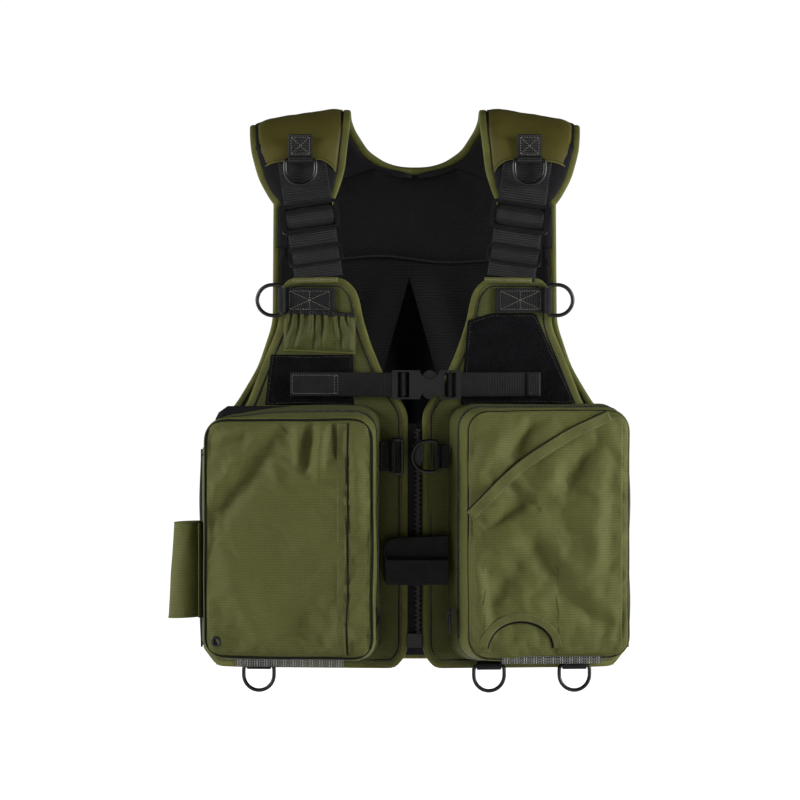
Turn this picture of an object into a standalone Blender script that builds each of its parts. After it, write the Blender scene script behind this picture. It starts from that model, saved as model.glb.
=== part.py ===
"""Fishing vest with chest strap, front zip, two clamshell pockets and rings.

The vest hangs from its shoulder line. Axes: +X towards the wearer's left, -Y to the front, +Z up.
The origin lies midway between the shoulders, under the shoulder pads, where a body or a hanger
carries it. Right and left are the wearer's. Sizes are in millimetres; each mesh is scaled to
metres as it is made.
"""

import math

import bmesh
import bpy
import numpy as np
from mathutils import Matrix, Vector

MM = 0.001
GAP = 0.4
LAYER_GAP = 0.8         # between the curved layers of the back

# Body of the vest
EDGE_X = 9.4            # half the opening between the two fronts
FRONT_Y = -92.0         # front surface of the fronts at the centre edge
PANEL_TURN = math.radians(8.0)   # each front turns back from the centre by this much
SIDE_TURN_X = 165.0     # where the fronts start to curve round to the sides
SIDE_X = 227.0          # half the width at the waist
BACK_Y = 88.0           # outer surface of the back at the spine
LEAN_Z = -80.0          # the back leans forward to the shoulders above this
HEM_Z = -570.0
ARMHOLE_Z = -345.0      # lowest point of the armholes
SHELL = 1.2
FOAM = 6.0
LINING = 1.0
PLY_INSET = 8.0         # the foam ends this far inside the cloth it's sewn between
MESH_PAD = 6.0
MESH_PAD_END_Z = -148.0
SIDE_PANEL = 2.4
FRONT_TOP_Z = -166.0
SHOULDER_SLOPE = 0.16   # drop of the shoulder line for each millimetre outwards
WING_TOP_Z = -7.0       # top of the back at the neck, where the shoulder pads take over
NECK_X = 70.0           # half the neck opening at the shoulder line
SIDE_ROUND = 56.0       # how far the fronts turn back where they meet the side panels
BACK_FLAT_X = 120.0     # the back is nearly flat inside this and round outside it
BACK_BOW = 8.0          # hollow of the flat part
BACK_SLANT = 0.133
BACK_ROUND = 66.0       # how far the back turns forward where it meets the side panels
BACK_ROUND_RUN = 110.0
BACK_LEAN = 45.0        # forward lean of the back, one LEAN_Z above where the lean begins

# Outlines of the body, as (z, x) for the fronts and (x, z) for the back
FRONT_INNER = [
    (-570.0, 24.0), (-560.0, 11.5), (-550.0, EDGE_X), (-303.0, EDGE_X), (-270.0, 33.0),
    (-234.0, 48.0), (-208.0, 56.0), (-186.0, 60.0), (-172.0, 65.0), (FRONT_TOP_Z, 80.0),
]
FRONT_OUTER = [
    (-570.0, 208.0), (-550.0, SIDE_X), (ARMHOLE_Z, SIDE_X), (-328.0, 208.0), (-300.0, 176.0),
    (-250.0, 156.0), (-215.0, 141.5), (-172.0, 140.0), (FRONT_TOP_Z, 126.0),
]
FRONT_ROWS = [-570, -550, -500, -420, -345, -328, -303, -270, -234, -208, -186, -172, -166]
FOAM_ROWS = [-560, -500, -420, -345, -328, -303, -270, -234, -208, -186, -180]
BACK_TOP = [
    (0.0, -50.4), (18.0, -49.4), (39.0, -42.0), (52.0, -33.0), (59.0, -22.0), (65.0, -12.0),
    (NECK_X, WING_TOP_Z), (148.0, WING_TOP_Z - SHOULDER_SLOPE * 78.0), (148.6, -215.0), (165.0, -262.0),
    (190.0, -303.0), (220.0, -332.0), (SIDE_X, ARMHOLE_Z),
]
BACK_END = [(0.0, HEM_Z), (208.0, HEM_Z), (SIDE_X, -552.0)]
BACK_SPLITS = [(90, 0), (120, 0), (206, 0)]     # more upright strips between those of BACK_TOP

# Shoulder pads: an arch from the back over the shoulder line, then straight down the front
ARCH_DEPTH = 62.0
ARCH_RISE = 42.6
ARCH_Z = -30.0
PAD = 9.0
PAD_END_Z = -90.0
STRAP_TILT = 0.1025     # forward travel of the strap for each millimetre down
SLOPE_FADE = 60.0       # the shoulder's slope fades out over this height, down the front
PAD_INNER = [(-90.0, 87.0), (-73.0, 82.0), (-52.0, 77.0), (0.0, 71.5), (20.0, 71.0)]
PAD_OUTER = [(-90.0, 146.0), (-84.0, 152.0), (-60.0, 161.0), (-25.0, 168.0), (20.0, 171.0)]

# Webbing and hardware
WIDE = 50.0
NARROW = 25.0
WEB = 1.6
TAB_LAYERS = 3.0        # thickness of folded webbing
STRAP_LOW = (100.5, -161.5)     # middle of the wide strap's ends, as (x, z)
STRAP_HIGH = (117.5, -46.0)
ADJUSTER_UP = 61.0      # heights of the slotted buckles above the strap's low end
KEEPER_UP = 20.5
SLOTTED_BAR = 3.2       # thickness of those buckles
RING_WIRE = 2.0
RING_BAR = 32.0         # centre line of the straight side
RING_DROP = 26.0        # centre line from the bar to the crown
LOOP_IN = RING_WIRE + 0.6
LOOP_OUT = LOOP_IN + 1.5
SHOULDER_RING_AT = (119.5, -71.0, -42.0)
CHEST_RING_X = 138.0
CHEST_RING_Z = -188.0
BOTTOM_RING_Z = -568.5
BOTTOM_RING_OUT = 9.0
BOTTOM_RINGS = (
    ("right_bottom", -1, 153.5), ("left_inner_bottom", 1, 67.0), ("left_outer_bottom", 1, 157.0),
)
CENTRE_RING_AT = (23.0, -100.5, -350.0)
CENTRE_LOOP_AT = (-22.5, -100.5, -350.0)
CENTRE_LOOP_HALF = 17.5
CENTRE_LOOP_REACH = 9.0
WAIST_LOOP_Z = -470.0

# Chest patches, strap and buckle
PATCH = 2.0
STRAP_Z = -275.5
STRAP_ENDS = {-1: 129.0, 1: 128.0}
BUCKLE_Y = -98.6
BAR_X = {-1: 12.0, 1: 36.5}     # distance of each buckle bar from the centre line
BAR = 1.7                       # half the thickness of those bars
BUCKLE_HALF = 15.0
BUCKLE_THICK = 5.5              # half its thickness
BUCKLE_HOLLOW = 3.6             # half the hollow that the prongs lie in
STRAP_SLOT = 13.2               # half the height of the slots for the webbing
SOCKET_ENDS = (-24.0, 28.0)
PLUG_END = 47.8
PRONG_X = 26.5                  # where the prongs bend
PRONG_RISE = 6.5
PRONG = 5.0

# Pockets, measured along the turned front plane (u), out from it (n) and up (z)
POCKET_TOP_Z = -297.0
POCKET_END_Z = -561.0
POCKET_SEAM = 27.5      # the zip runs round the pocket at this distance from the front
POCKET_DEPTH = 55.0
WALL = 2.5
CORNER = 20.0
HINGE_U = 115.0
HINGE_DROP = 0.6        # the hinge line lies this far below the pockets
FACE_RISE = 4.0         # the foot of a lid's face lies this much higher than its seam
POCKET_SLIDER_Z = -515.0
# For each side: inner edge at the back and at the face, outer edge, and top of the face
POCKETS = {
    -1: ("right", 28.0, 28.5, 202.0, -312.0),
    1: ("left", 26.5, 40.5, 205.0, -303.0),
}
SLEEVE_RADIUS = 17.3
SLEEVE_WALL = 2.0
SLEEVE_FLANGE = 26.5    # reach of the flange from the sleeve's axis
SLEEVE_LENGTH = 98.0
SLEEVE_AT = (-241.0, -45.0, -470.0)

# Front zip
ZIP_X = 3.0
ZIP_TOP_Z = -320.0
ZIP_END_Z = -548.0
ZIP_BEHIND = 4.0        # the zip lies this far behind the front edges
ZIP_TAPE = 2.6
TOOTH = 5.0
SLIDER_Z = -347.0
SLIDER = 2.0
FRONT_SLIDER_HALF = 5.8
POCKET_SLIDER_HALF = 4.5
PULL = 1.5
PULL_OUT = 1.7          # distance of a pull's pivot from the face of its slider
FRONT_PULL = 13.5       # short enough to swing through the ring in front of it
POCKET_PULL = 20.0

PALETTE = {
    "olive_fabric": ((0.095, 0.115, 0.030), 0.8, 0.0),
    "black_fabric": ((0.012, 0.012, 0.013), 0.9, 0.0),
    "foam": ((0.30, 0.31, 0.31), 0.9, 0.0),
    "webbing": ((0.020, 0.020, 0.022), 0.75, 0.0),
    "loop_fabric": ((0.008, 0.008, 0.009), 1.0, 0.0),
    "black_plastic": ((0.014, 0.014, 0.015), 0.4, 0.0),
    "zip_plastic": ((0.016, 0.016, 0.016), 0.45, 0.0),
}


def clear_scene():
    for thing in list(bpy.data.objects):
        bpy.data.objects.remove(thing)


def new_collection(name):
    made = bpy.data.collections.new(name)
    bpy.context.scene.collection.children.link(made)
    return made


def make_materials():
    made = {}
    for name, (colour, roughness, metallic) in PALETTE.items():
        material = bpy.data.materials.new(name)
        material.use_nodes = True
        shader = material.node_tree.nodes["Principled BSDF"]
        shader.inputs["Base Color"].default_value = (*colour, 1.0)
        shader.inputs["Roughness"].default_value = roughness
        shader.inputs["Metallic"].default_value = metallic
        made[name] = material
    return made


clear_scene()
VEST = new_collection("fishing_vest")
CUTTERS = new_collection("cutters")
CUTTERS.hide_render = True
MATERIALS = make_materials()


# ---------------------------------------------------------------- shape helpers


def add(name, data, material, matrix=None, collection=VEST):
    """Puts mesh or curve data into the scene; its matrix is in millimetres."""
    made = bpy.data.objects.new(name, data)
    collection.objects.link(made)
    data.materials.append(MATERIALS[material])
    if matrix is not None:
        placed = matrix.copy()
        placed.translation = placed.translation * MM
        made.matrix_world = placed
    return made


def mesh_from(bm, name):
    bmesh.ops.recalc_face_normals(bm, faces=bm.faces[:])
    bm.transform(Matrix.Scale(MM, 4))
    data = bpy.data.meshes.new(name)
    bm.to_mesh(data)
    bm.free()
    return data


def loft(name, sections, material, matrix=None):
    """A closed solid through equal loops of points, with its first and last loop filled."""
    bm = bmesh.new()
    loops = [[bm.verts.new(point) for point in section] for section in sections]
    for near, far in zip(loops, loops[1:]):
        for i in range(len(near)):
            j = (i + 1) % len(near)
            bm.faces.new((near[i], near[j], far[j], far[i]))
    bm.faces.new(loops[0][::-1])
    bm.faces.new(loops[-1])
    return add(name, mesh_from(bm, name), material, matrix)


def block(name, low, high, material, matrix=None, round_by=0.0, collection=VEST):
    bm = bmesh.new()
    bmesh.ops.create_cube(bm, size=1.0)
    size = Vector(high) - Vector(low)
    bmesh.ops.scale(bm, vec=size, verts=bm.verts[:])
    bmesh.ops.translate(bm, vec=(Vector(low) + Vector(high)) / 2, verts=bm.verts[:])
    made = add(name, mesh_from(bm, name), material, matrix, collection)
    if round_by:
        bevel = made.modifiers.new("rounded", "BEVEL")
        bevel.width = round_by * MM
        bevel.segments = 2
    return made


def spline(curve, points):
    path = curve.splines.new("POLY")
    path.points.add(len(points) - 1)
    for slot, point in zip(path.points, points):
        slot.co = (*(Vector(point).to_3d() * MM), 1.0)
    path.use_cyclic_u = True


def cut_sheet(name, outlines, width, material, matrix=None):
    """A flat outline, with any holes in it, given a thickness along its own Z."""
    curve = bpy.data.curves.new(name, "CURVE")
    curve.dimensions = "2D"
    curve.fill_mode = "BOTH"
    curve.extrude = width / 2 * MM
    for outline in outlines:
        spline(curve, outline)
    return add(name, curve, material, matrix)


def wire_ring(name, points, radius, material, matrix):
    curve = bpy.data.curves.new(name, "CURVE")
    curve.dimensions = "3D"
    curve.bevel_depth = radius * MM
    curve.bevel_resolution = 2
    spline(curve, points)
    return add(name, curve, material, matrix)


def combine(target, tool, operation):
    tool.hide_render = True
    tool.display_type = "WIRE"
    boolean = target.modifiers.new(tool.name, "BOOLEAN")
    boolean.operation = operation
    boolean.solver = "EXACT"
    boolean.object = tool


def cut(target, cutter):
    combine(target, cutter, "DIFFERENCE")


def join(target, tool):
    combine(target, tool, "UNION")


def arc(centre, radius, start, end, steps):
    """Points on an arc, with its angles in degrees."""
    angles = np.radians(np.linspace(start, end, steps))
    return [(centre[0] + radius * math.cos(a), centre[1] + radius * math.sin(a)) for a in angles]


def axes_at(origin, x_axis, y_axis):
    """A frame with this X axis, and its Y axis as near as can be to the one given."""
    x = Vector(x_axis).normalized()
    z = x.cross(Vector(y_axis)).normalized()
    y = z.cross(x)
    made = Matrix((x, y, z)).transposed().to_4x4()
    made.translation = Vector(origin)
    return made


def through(table, at):
    """Straight-line interpolation in a table of (position, value) pairs in rising order."""
    positions, values = zip(*table)
    return float(np.interp(at, positions, values))


# ---------------------------------------------------------------- surfaces of the body


def front_y(x):
    """Outer surface of the fronts: flat and turned back, then curving round to the side."""
    out = abs(x)
    y = FRONT_Y + (out - EDGE_X) * math.tan(PANEL_TURN)
    if out > SIDE_TURN_X:
        share = (out - SIDE_TURN_X) / (SIDE_X - SIDE_TURN_X + 2)
        y += SIDE_ROUND * (1 - math.sqrt(1 - share * share))
    return y


def back_y(x, z):
    """Outer surface of the back: nearly flat, round at the sides, leaning forward at the shoulders."""
    out = abs(x)
    y = BACK_Y - BACK_BOW * (min(out, BACK_FLAT_X) / BACK_FLAT_X) ** 2
    if out > BACK_FLAT_X:
        share = (out - BACK_FLAT_X) / BACK_ROUND_RUN
        y -= BACK_SLANT * (out - BACK_FLAT_X) + BACK_ROUND * (1 - math.sqrt(1 - share * share))
    if z > LEAN_Z:
        y -= BACK_LEAN * ((z - LEAN_Z) / LEAN_Z) ** 2
    return y


def front_plane(side, u, n, z):
    """A point given along the turned front (u), out from it (n) and up."""
    x = EDGE_X + u * math.cos(PANEL_TURN) + n * math.sin(PANEL_TURN)
    y = FRONT_Y + u * math.sin(PANEL_TURN) - n * math.cos(PANEL_TURN)
    return Vector((side * x, y, z))


def front_axes(side):
    """Outward along the front, out from it, as directions."""
    along = Vector((side * math.cos(PANEL_TURN), math.sin(PANEL_TURN), 0))
    out = Vector((side * math.sin(PANEL_TURN), -math.cos(PANEL_TURN), 0))
    return along, out


def front_columns(inner, outer):
    """Places across a front: four as far as its turn to the side, and more round the turn."""
    split = min(outer - 6, SIDE_TURN_X)
    return np.append(np.linspace(inner, split, 4), np.linspace(split, outer, 6)[1:])


def foam_columns(inner, outer):
    """Places across the foam of a front, which ends before the turn to the side."""
    return np.linspace(inner, min(outer, SIDE_TURN_X - 15), 7)


def front_layer(name, side, behind, thickness, inset, rows, columns, material):
    """One layer of a front, lying this far behind its outer surface and inside its outline."""
    sections = []
    for z in rows:
        inner = through(FRONT_INNER, z) + inset
        outer = through(FRONT_OUTER, z) - inset
        xs = columns(inner, outer)
        near = [(side * x, front_y(x) + behind, z) for x in xs]
        far = [(side * x, front_y(x) + behind + thickness, z) for x in xs[::-1]]
        sections.append(near + far)
    return loft(name, sections, material)


def back_layer(name, behind, thickness, trim, material, low_z=None, high_z=50.0, half=SIDE_X):
    """One layer of the back, built of upright strips from one side to the other."""
    right = sorted({x for x, _ in BACK_TOP + BACK_SPLITS if 0 < x < half} | {half})
    sections = []
    for x in [-x for x in right[::-1]] + [0.0] + right:
        top = min(through(BACK_TOP, abs(x)) - trim, high_z)
        end = (through(BACK_END, abs(x)) + trim) if low_z is None else low_z
        bend = LEAN_Z if top > LEAN_Z + 10 else end + 0.8 * (top - end)
        zs = [end, (end + bend) / 2] + list(np.linspace(bend, top, 8))
        near = [(x, back_y(x, z) - behind, z) for z in zs]
        far = [(x, back_y(x, z) - behind - thickness, z) for z in zs[::-1]]
        sections.append(near + far)
    return loft(name, sections, material)


def make_body():
    back_layer("back_shell", 0, SHELL, 0, "olive_fabric")
    back_layer("back_foam", SHELL + LAYER_GAP, FOAM, PLY_INSET, "foam", high_z=LEAN_Z - 2, half=148.0)
    back_layer("back_lining", SHELL + FOAM + 2 * LAYER_GAP, LINING, 1, "black_fabric", half=220.0)
    pad_behind = SHELL + FOAM + LINING + 3 * LAYER_GAP
    back_layer(
        "upper_back_pad", pad_behind, MESH_PAD, 1, "black_fabric", low_z=MESH_PAD_END_Z, half=NECK_X
    )
    for side, word in ((-1, "right"), (1, "left")):
        name = f"{word}_front_shell"
        front_layer(name, side, 0, SHELL, 0, FRONT_ROWS, front_columns, "olive_fabric")
        name = f"{word}_front_foam"
        front_layer(name, side, SHELL + GAP, FOAM, PLY_INSET, FOAM_ROWS, foam_columns, "foam")
        y_low = front_y(SIDE_X) + SHELL + GAP
        y_high = back_y(SIDE_X, ARMHOLE_Z) - SHELL - GAP
        xs = sorted((side * (SIDE_X - SIDE_PANEL), side * SIDE_X))
        low = (xs[0], y_low, -550.0)
        high = (xs[1], y_high, ARMHOLE_Z)
        block(f"{word}_side_panel", low, high, "black_fabric")


# ---------------------------------------------------------------- shoulders


def pad_path():
    """Outer line of the shoulder arch in the YZ plane, from the back to the front end."""
    angles = np.radians(np.linspace(-44.0, 90.0, 10))
    path = [(-ARCH_DEPTH * math.sin(a), ARCH_Z + ARCH_RISE * math.cos(a)) for a in angles]
    for z in (-60.0, PAD_END_Z):
        path.append((-ARCH_DEPTH - (ARCH_Z - z) * STRAP_TILT, z))
    return path


def shoulder_arch(name, side, path, lift, thickness, material):
    """A layer that follows the arch, this far outside it, narrowing towards its front end."""
    sections = []
    for i, (y, z) in enumerate(path):
        before = Vector(path[max(i - 1, 0)])
        after = Vector(path[min(i + 1, len(path) - 1)])
        run = (after - before).normalized()
        normal = Vector((-run.y, run.x)) * -1
        xs = np.linspace(through(PAD_INNER, z), through(PAD_OUTER, z), 4)

        def row(offset, line):
            return [
                (side * x, y + normal.x * offset, z + normal.y * offset - slope(x, z))
                for x in line
            ]

        sections.append(row(lift, xs) + row(lift - thickness, xs[::-1]))
    return loft(name, sections, material)


def slope(x, z):
    """How far the shoulder line has dropped at x; the drop fades out down the front."""
    fade = min(1.0, max(0.0, (z + SLOPE_FADE) / SLOPE_FADE))
    return SHOULDER_SLOPE * (x - NECK_X) * fade


def strap_frame(side):
    """Frame of the wide strap: X across it, Y out of it and Z up along it."""
    low, high = (
        Vector((side * x, -ARCH_DEPTH - (ARCH_Z - z) * STRAP_TILT - GAP, z))
        for x, z in (STRAP_LOW, STRAP_HIGH)
    )
    up = (high - low).normalized()
    out = Vector((0, -1, 0))
    across = out.cross(up).normalized()
    out = up.cross(across)
    made = Matrix((across, out, up)).transposed().to_4x4()
    made.translation = low
    return made, (high - low).length


def slotted_bar(name, frame, height, width, slot, material):
    """A flat buckle with two slots and rounded ends, lying in the XZ plane of its frame."""
    half_w, half_h = width / 2, height / 2
    end = 5.0
    outline = []
    for cx, cz, start in (
        (half_w - end, half_h - end, 0), (-half_w + end, half_h - end, 90),
        (-half_w + end, -half_h + end, 180), (half_w - end, -half_h + end, 270),
    ):
        outline += arc((cx, cz), end, start, start + 90, 4)
    holes = []
    for low, high in slot:
        holes.append([(-26.5, low), (26.5, low), (26.5, high), (-26.5, high)])
    lay_flat = frame @ Matrix.Rotation(math.radians(90), 4, "X")
    return cut_sheet(name, [outline] + holes, SLOTTED_BAR, material, lay_flat)


def make_shoulders():
    path = pad_path()
    for side, word in ((-1, "right"), (1, "left")):
        shoulder_arch(f"{word}_shoulder_pad", side, path, 0, PAD, "black_fabric")
        frame, length = strap_frame(side)
        block(f"{word}_shoulder_strap", (-WIDE / 2, 0, 0), (WIDE / 2, WEB, length), "webbing", frame)
        out = WEB + GAP + SLOTTED_BAR / 2
        upper = frame @ Matrix.Translation((0, out, ADJUSTER_UP))
        two_slots = ((-11.5, -3.5), (3.5, 11.5))
        slotted_bar(f"{word}_strap_adjuster", upper, 31, 62, two_slots, "black_plastic")
        lower = frame @ Matrix.Translation((0, out, KEEPER_UP))
        slotted_bar(f"{word}_strap_keeper", lower, 19, 58, ((-5.5, 5.5),), "black_plastic")


# ---------------------------------------------------------------- rings and their webbing tabs


def looped_tab(name, frame, length, width, material="webbing"):
    """Folded webbing: a loop round a bar on the frame's Z axis, and two layers lying along +X."""
    top = LOOP_OUT - TAB_LAYERS
    meet = math.degrees(math.asin(-top / LOOP_OUT))
    outline = [(length, -LOOP_OUT), (length, -top)]
    outline += arc((0, 0), LOOP_OUT, meet, 270, 10)
    hole = arc((0, 0), LOOP_IN, 0, 330, 12)
    return cut_sheet(name, [outline, hole], width, material, frame)


def d_ring(name, frame):
    """A D-ring with its bar on the frame's Z axis and its crown towards -X."""
    half = RING_BAR / 2
    turn = 3.0
    straight = RING_DROP - half
    points = [(-turn, 0, half), (0, 0, half - turn), (0, 0, -half + turn), (-turn, 0, -half)]
    for a, b in arc((-straight, 0), half, 270, 90, 11):
        points.append((a, 0, b))
    return wire_ring(name, points, RING_WIRE, "black_plastic", frame)


def ring_frame_shoulder(side):
    """The bar runs across, the tab lies up the yoke and the ring hangs down the strap."""
    lean = math.atan(STRAP_TILT)
    up = (0, math.sin(lean), math.cos(lean))
    x, y, z = SHOULDER_RING_AT
    return axes_at((side * x, y, z), up, (0, -1, 0))


def ring_frame_chest(side):
    """The bar stands upright at the outer end of the strap's anchor tab."""
    along, out = front_axes(side)
    u = (CHEST_RING_X - EDGE_X) / math.cos(PANEL_TURN)
    return axes_at(front_plane(side, u, LOOP_OUT + GAP, CHEST_RING_Z), -along, out)


def ring_frame_bottom(side, u):
    at = front_plane(side, u, BOTTOM_RING_OUT, BOTTOM_RING_Z)
    return axes_at(at, (0, 0, 1), front_axes(side)[1])


def make_rings():
    for side, word in ((-1, "right"), (1, "left")):
        at = ring_frame_shoulder(side)
        looped_tab(f"{word}_shoulder_ring_tab", at, 27, NARROW)
        d_ring(f"{word}_shoulder_ring", at)
        at = ring_frame_chest(side)
        looped_tab(f"{word}_anchor_tab", at, 55, NARROW + 1)
        d_ring(f"{word}_chest_ring", at)
    for word, side, u in BOTTOM_RINGS:
        at = ring_frame_bottom(side, u)
        looped_tab(f"{word}_ring_tab", at, 6.8, NARROW)
        d_ring(f"{word}_ring", at)


def make_centre_rings():
    """The ring and the flat loop that face each other across the front zip."""
    at = axes_at(CENTRE_RING_AT, (1, 0, 0), (0, -1, 0))
    looped_tab("centre_ring_tab", at, 12.0, NARROW)
    d_ring("centre_ring", at)
    at = axes_at(CENTRE_LOOP_AT, (-1, 0, 0), (0, -1, 0))
    looped_tab("centre_loop_tab", at, 14.0, NARROW + 6)
    half, reach = CENTRE_LOOP_HALF, CENTRE_LOOP_REACH
    points = [(0, 0, half), (0, 0, -half), (-reach, 0, -half), (-reach, 0, half)]
    wire_ring("centre_loop", points, RING_WIRE, "black_plastic", at)
    fold = arc((-29.0, -104.5), 4.5, 270, 90, 6)
    inner_fold = arc((-29.0, -104.5), 2.7, 90, 270, 6)
    outline = [(34.5, -109.0)] + fold + [(34.5, -100.0), (34.5, -101.8)]
    outline += inner_fold + [(34.5, -107.2)]
    frame = Matrix.Translation((0, 0, WAIST_LOOP_Z))
    cut_sheet("waist_loop", [outline], NARROW + 2, "webbing", frame)


# ---------------------------------------------------------------- chest patches, strap and buckle


def plane_matrix(side, n):
    """Frame lying on the front: X outwards along it, Y up and Z out of it (right) or into it."""
    along, out = front_axes(side)
    return axes_at(front_plane(side, 0, n, 0), along, (0, 0, 1))


def on_plane(x, z):
    """Turns a distance from the centre line into one along the turned front."""
    return ((x - EDGE_X) / math.cos(PANEL_TURN), z)


def make_chest():
    right = [(-156.0, -245.0), (-64.5, -245.0), (-64.5, -297.0), (-156.0, -297.0)]
    flat = plane_matrix(-1, GAP + PATCH / 2)
    cut_sheet("right_loop_patch", [[on_plane(-x, z) for x, z in right]], PATCH, "loop_fabric", flat)
    left = [(55, -209.5), (83, -201.5), (126, -203.5), (163, -288.5), (164, -296), (48, -295)]
    flat = plane_matrix(1, GAP + PATCH / 2)
    cut_sheet("left_loop_patch", [[on_plane(x, z) for x, z in left]], PATCH, "loop_fabric", flat)
    # The gathered pocket is a low cushion above the right patch.
    sections = []
    for z, swell in ((-243.0, 2.0), (-233.0, 6.0), (-218.0, 7.0), (-208.0, 5.0), (-204.0, 3.0)):
        us = [on_plane(x, 0)[0] for x in np.linspace(62.0, 136.0, 6)]
        near = [front_plane(-1, u, GAP, z) for u in us]
        far = [front_plane(-1, u, GAP + swell, z) for u in us[::-1]]
        sections.append(near + far)
    loft("gathered_chest_pocket", sections, "olive_fabric")
    make_chest_straps()
    make_buckle()


def make_chest_straps():
    """Each half is looped round its buckle bar and runs out along the loop patch."""
    for side, word in ((-1, "right"), (1, "left")):
        bar = Vector((side * BAR_X[side], BUCKLE_Y, STRAP_Z))
        u_end = (STRAP_ENDS[side] - EDGE_X) / math.cos(PANEL_TURN)
        target = front_plane(side, u_end, PATCH + 2 * GAP + LOOP_OUT, STRAP_Z)
        at = axes_at(bar, target - bar, (0, -1, 0))
        looped_tab(f"{word}_chest_strap", at, (target - bar).length, NARROW)


def buckle_block(name, xs, ys, half_z, collection=VEST):
    """A block: its ends along the strap, its depth about the buckle's plane, its half height."""
    low = (xs[0], BUCKLE_Y + ys[0], STRAP_Z - half_z)
    high = (xs[1], BUCKLE_Y + ys[1], STRAP_Z + half_z)
    return block(name, low, high, "black_plastic", collection=collection)


def cut_strap_slot(target, bar_x, end_low, end_high):
    """Opens a slot round a bar; the end of the frame is also cut back to clear the webbing."""
    wide = LOOP_OUT + GAP
    deep = BUCKLE_THICK + 3.5
    for part, xs, ys in (
        ("near_slot", (bar_x - wide - 1.5, bar_x - BAR), (-deep, deep)),
        ("far_slot", (bar_x + BAR, bar_x + wide + 1.5), (-deep, deep)),
        ("front_of_bar", (bar_x - wide - 1, bar_x + wide + 1), (-deep, -BAR)),
        ("back_of_bar", (bar_x - wide - 1, bar_x + wide + 1), (BAR, deep)),
        ("end_relief", (end_low, end_high), (GAP, deep)),
    ):
        cut(target, buckle_block(f"{target.name}_{part}", xs, ys, STRAP_SLOT, CUTTERS))


def thumb_scoop(name, up):
    """A cylinder that takes a bay out of the socket's upper or lower edge."""
    bm = bmesh.new()
    bmesh.ops.create_cone(bm, cap_ends=True, segments=32, radius1=10.5, radius2=10.5, depth=30)
    centre = Vector((15.5, BUCKLE_Y, STRAP_Z + up * (BUCKLE_HALF + 1.5)))
    turn = Matrix.Translation(centre) @ Matrix.Rotation(math.radians(90), 4, "X")
    return add(name, mesh_from(bm, "scoop"), "black_plastic", turn, CUTTERS)


def make_buckle():
    """Side-release buckle: a hollow socket, a plug, and two prongs that are squeezed to open it."""
    whole = (-BUCKLE_THICK, BUCKLE_THICK)
    socket = buckle_block("buckle_socket", SOCKET_ENDS, whole, BUCKLE_HALF)
    inside = (-BUCKLE_HOLLOW, BUCKLE_HOLLOW)
    cut(socket, buckle_block("socket_hollow", (-2.0, SOCKET_ENDS[1] + 5), inside, 12.6, CUTTERS))
    cut(socket, buckle_block("socket_windows", (5.0, 25.8), inside, BUCKLE_HALF + 5, CUTTERS))
    for word, up in (("upper", 1), ("lower", -1)):
        cut(socket, thumb_scoop(f"{word}_thumb_scoop", up))
    cut_strap_slot(socket, -BAR_X[-1], SOCKET_ENDS[0] - 1, -BAR_X[-1])
    plug = buckle_block("buckle_plug", (SOCKET_ENDS[1] + GAP, PLUG_END), whole, BUCKLE_HALF)
    tongue = buckle_block("plug_tongue", (2.0, SOCKET_ENDS[1] + 2), (-1.6, 1.6), 1.4, CUTTERS)
    join(plug, tongue)
    cut_strap_slot(plug, BAR_X[1], BAR_X[1], PLUG_END + 1)
    for word, up in (("upper", 1), ("lower", -1)):
        hump = arc((-11.0, 0.5), 8.0, 10, 170, 9)
        outline = [(1.3, -1.4), (1.3, 1.6)] + hump + [(-22.5, -0.2), (-20.5, -1.4)]
        points = [(x, up * z) for x, z in outline]
        frame = axes_at((PRONG_X, BUCKLE_Y, STRAP_Z + up * PRONG_RISE), (1, 0, 0), (0, 0, 1))
        cut_sheet(f"buckle_{word}_prong", [points], PRONG, "black_plastic", frame)


# ---------------------------------------------------------------- zips


def stringer(name, side):
    """Half of the front zip: a tape with its row of moulded teeth, which mesh with the other half's."""
    edge = side * (EDGE_X - 0.3)
    root = ZIP_X + side * 1.9
    tip = ZIP_X - side * 1.5
    top, end = ZIP_TOP_Z, ZIP_END_Z + 13.4
    outline = [(edge, end), (edge, top), (root, top)]
    shift = TOOTH / 2 if side > 0 else 0.0
    z = SLIDER_Z + 6.0 - shift
    while z - TOOTH > end:
        outline += [(root, z), (tip, z - 0.4), (tip, z - 1.5), (root, z - 1.9)]
        z -= TOOTH
    outline.append((root, end))
    frame = axes_at((0, FRONT_Y + ZIP_BEHIND, 0), (1, 0, 0), (0, 0, 1))
    return cut_sheet(name, [outline], ZIP_TAPE, "zip_plastic", frame)


def zip_slider(word, frame, half_width, pull):
    """A slider plate with its bridge, and the pull whose cross-bar turns under the bridge."""
    low, high = (-half_width, -SLIDER, -9), (half_width, 0, 9)
    plate = block(f"{word}_slider", low, high, "zip_plastic", frame)
    low, high = (-1.5, -1.0, -5), (1.5, 4.4, 5)
    bridge = block(f"{word}_bridge", low, high, "zip_plastic", frame, collection=CUTTERS)
    join(plate, bridge)
    low, high = (-4, 0.3, -3.2), (4, 3.0, 3.2)
    cut(plate, block(f"{word}_bridge_gap", low, high, "zip_plastic", frame, collection=CUTTERS))
    outline = [(-3.2, 0.8), (3.2, 0.8), (3.6, -9), (2.6, -pull), (-2.6, -pull), (-3.6, -9)]
    hole = [(-2.1, -0.8), (2.1, -0.8), (2.1, -7.5), (-2.1, -7.5)]
    pivot = frame @ Matrix.Translation((0, PULL_OUT, 0)) @ Matrix.Rotation(math.radians(90), 4, "X")
    cut_sheet(f"{word}_pull", [outline, hole], PULL, "zip_plastic", pivot)


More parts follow.
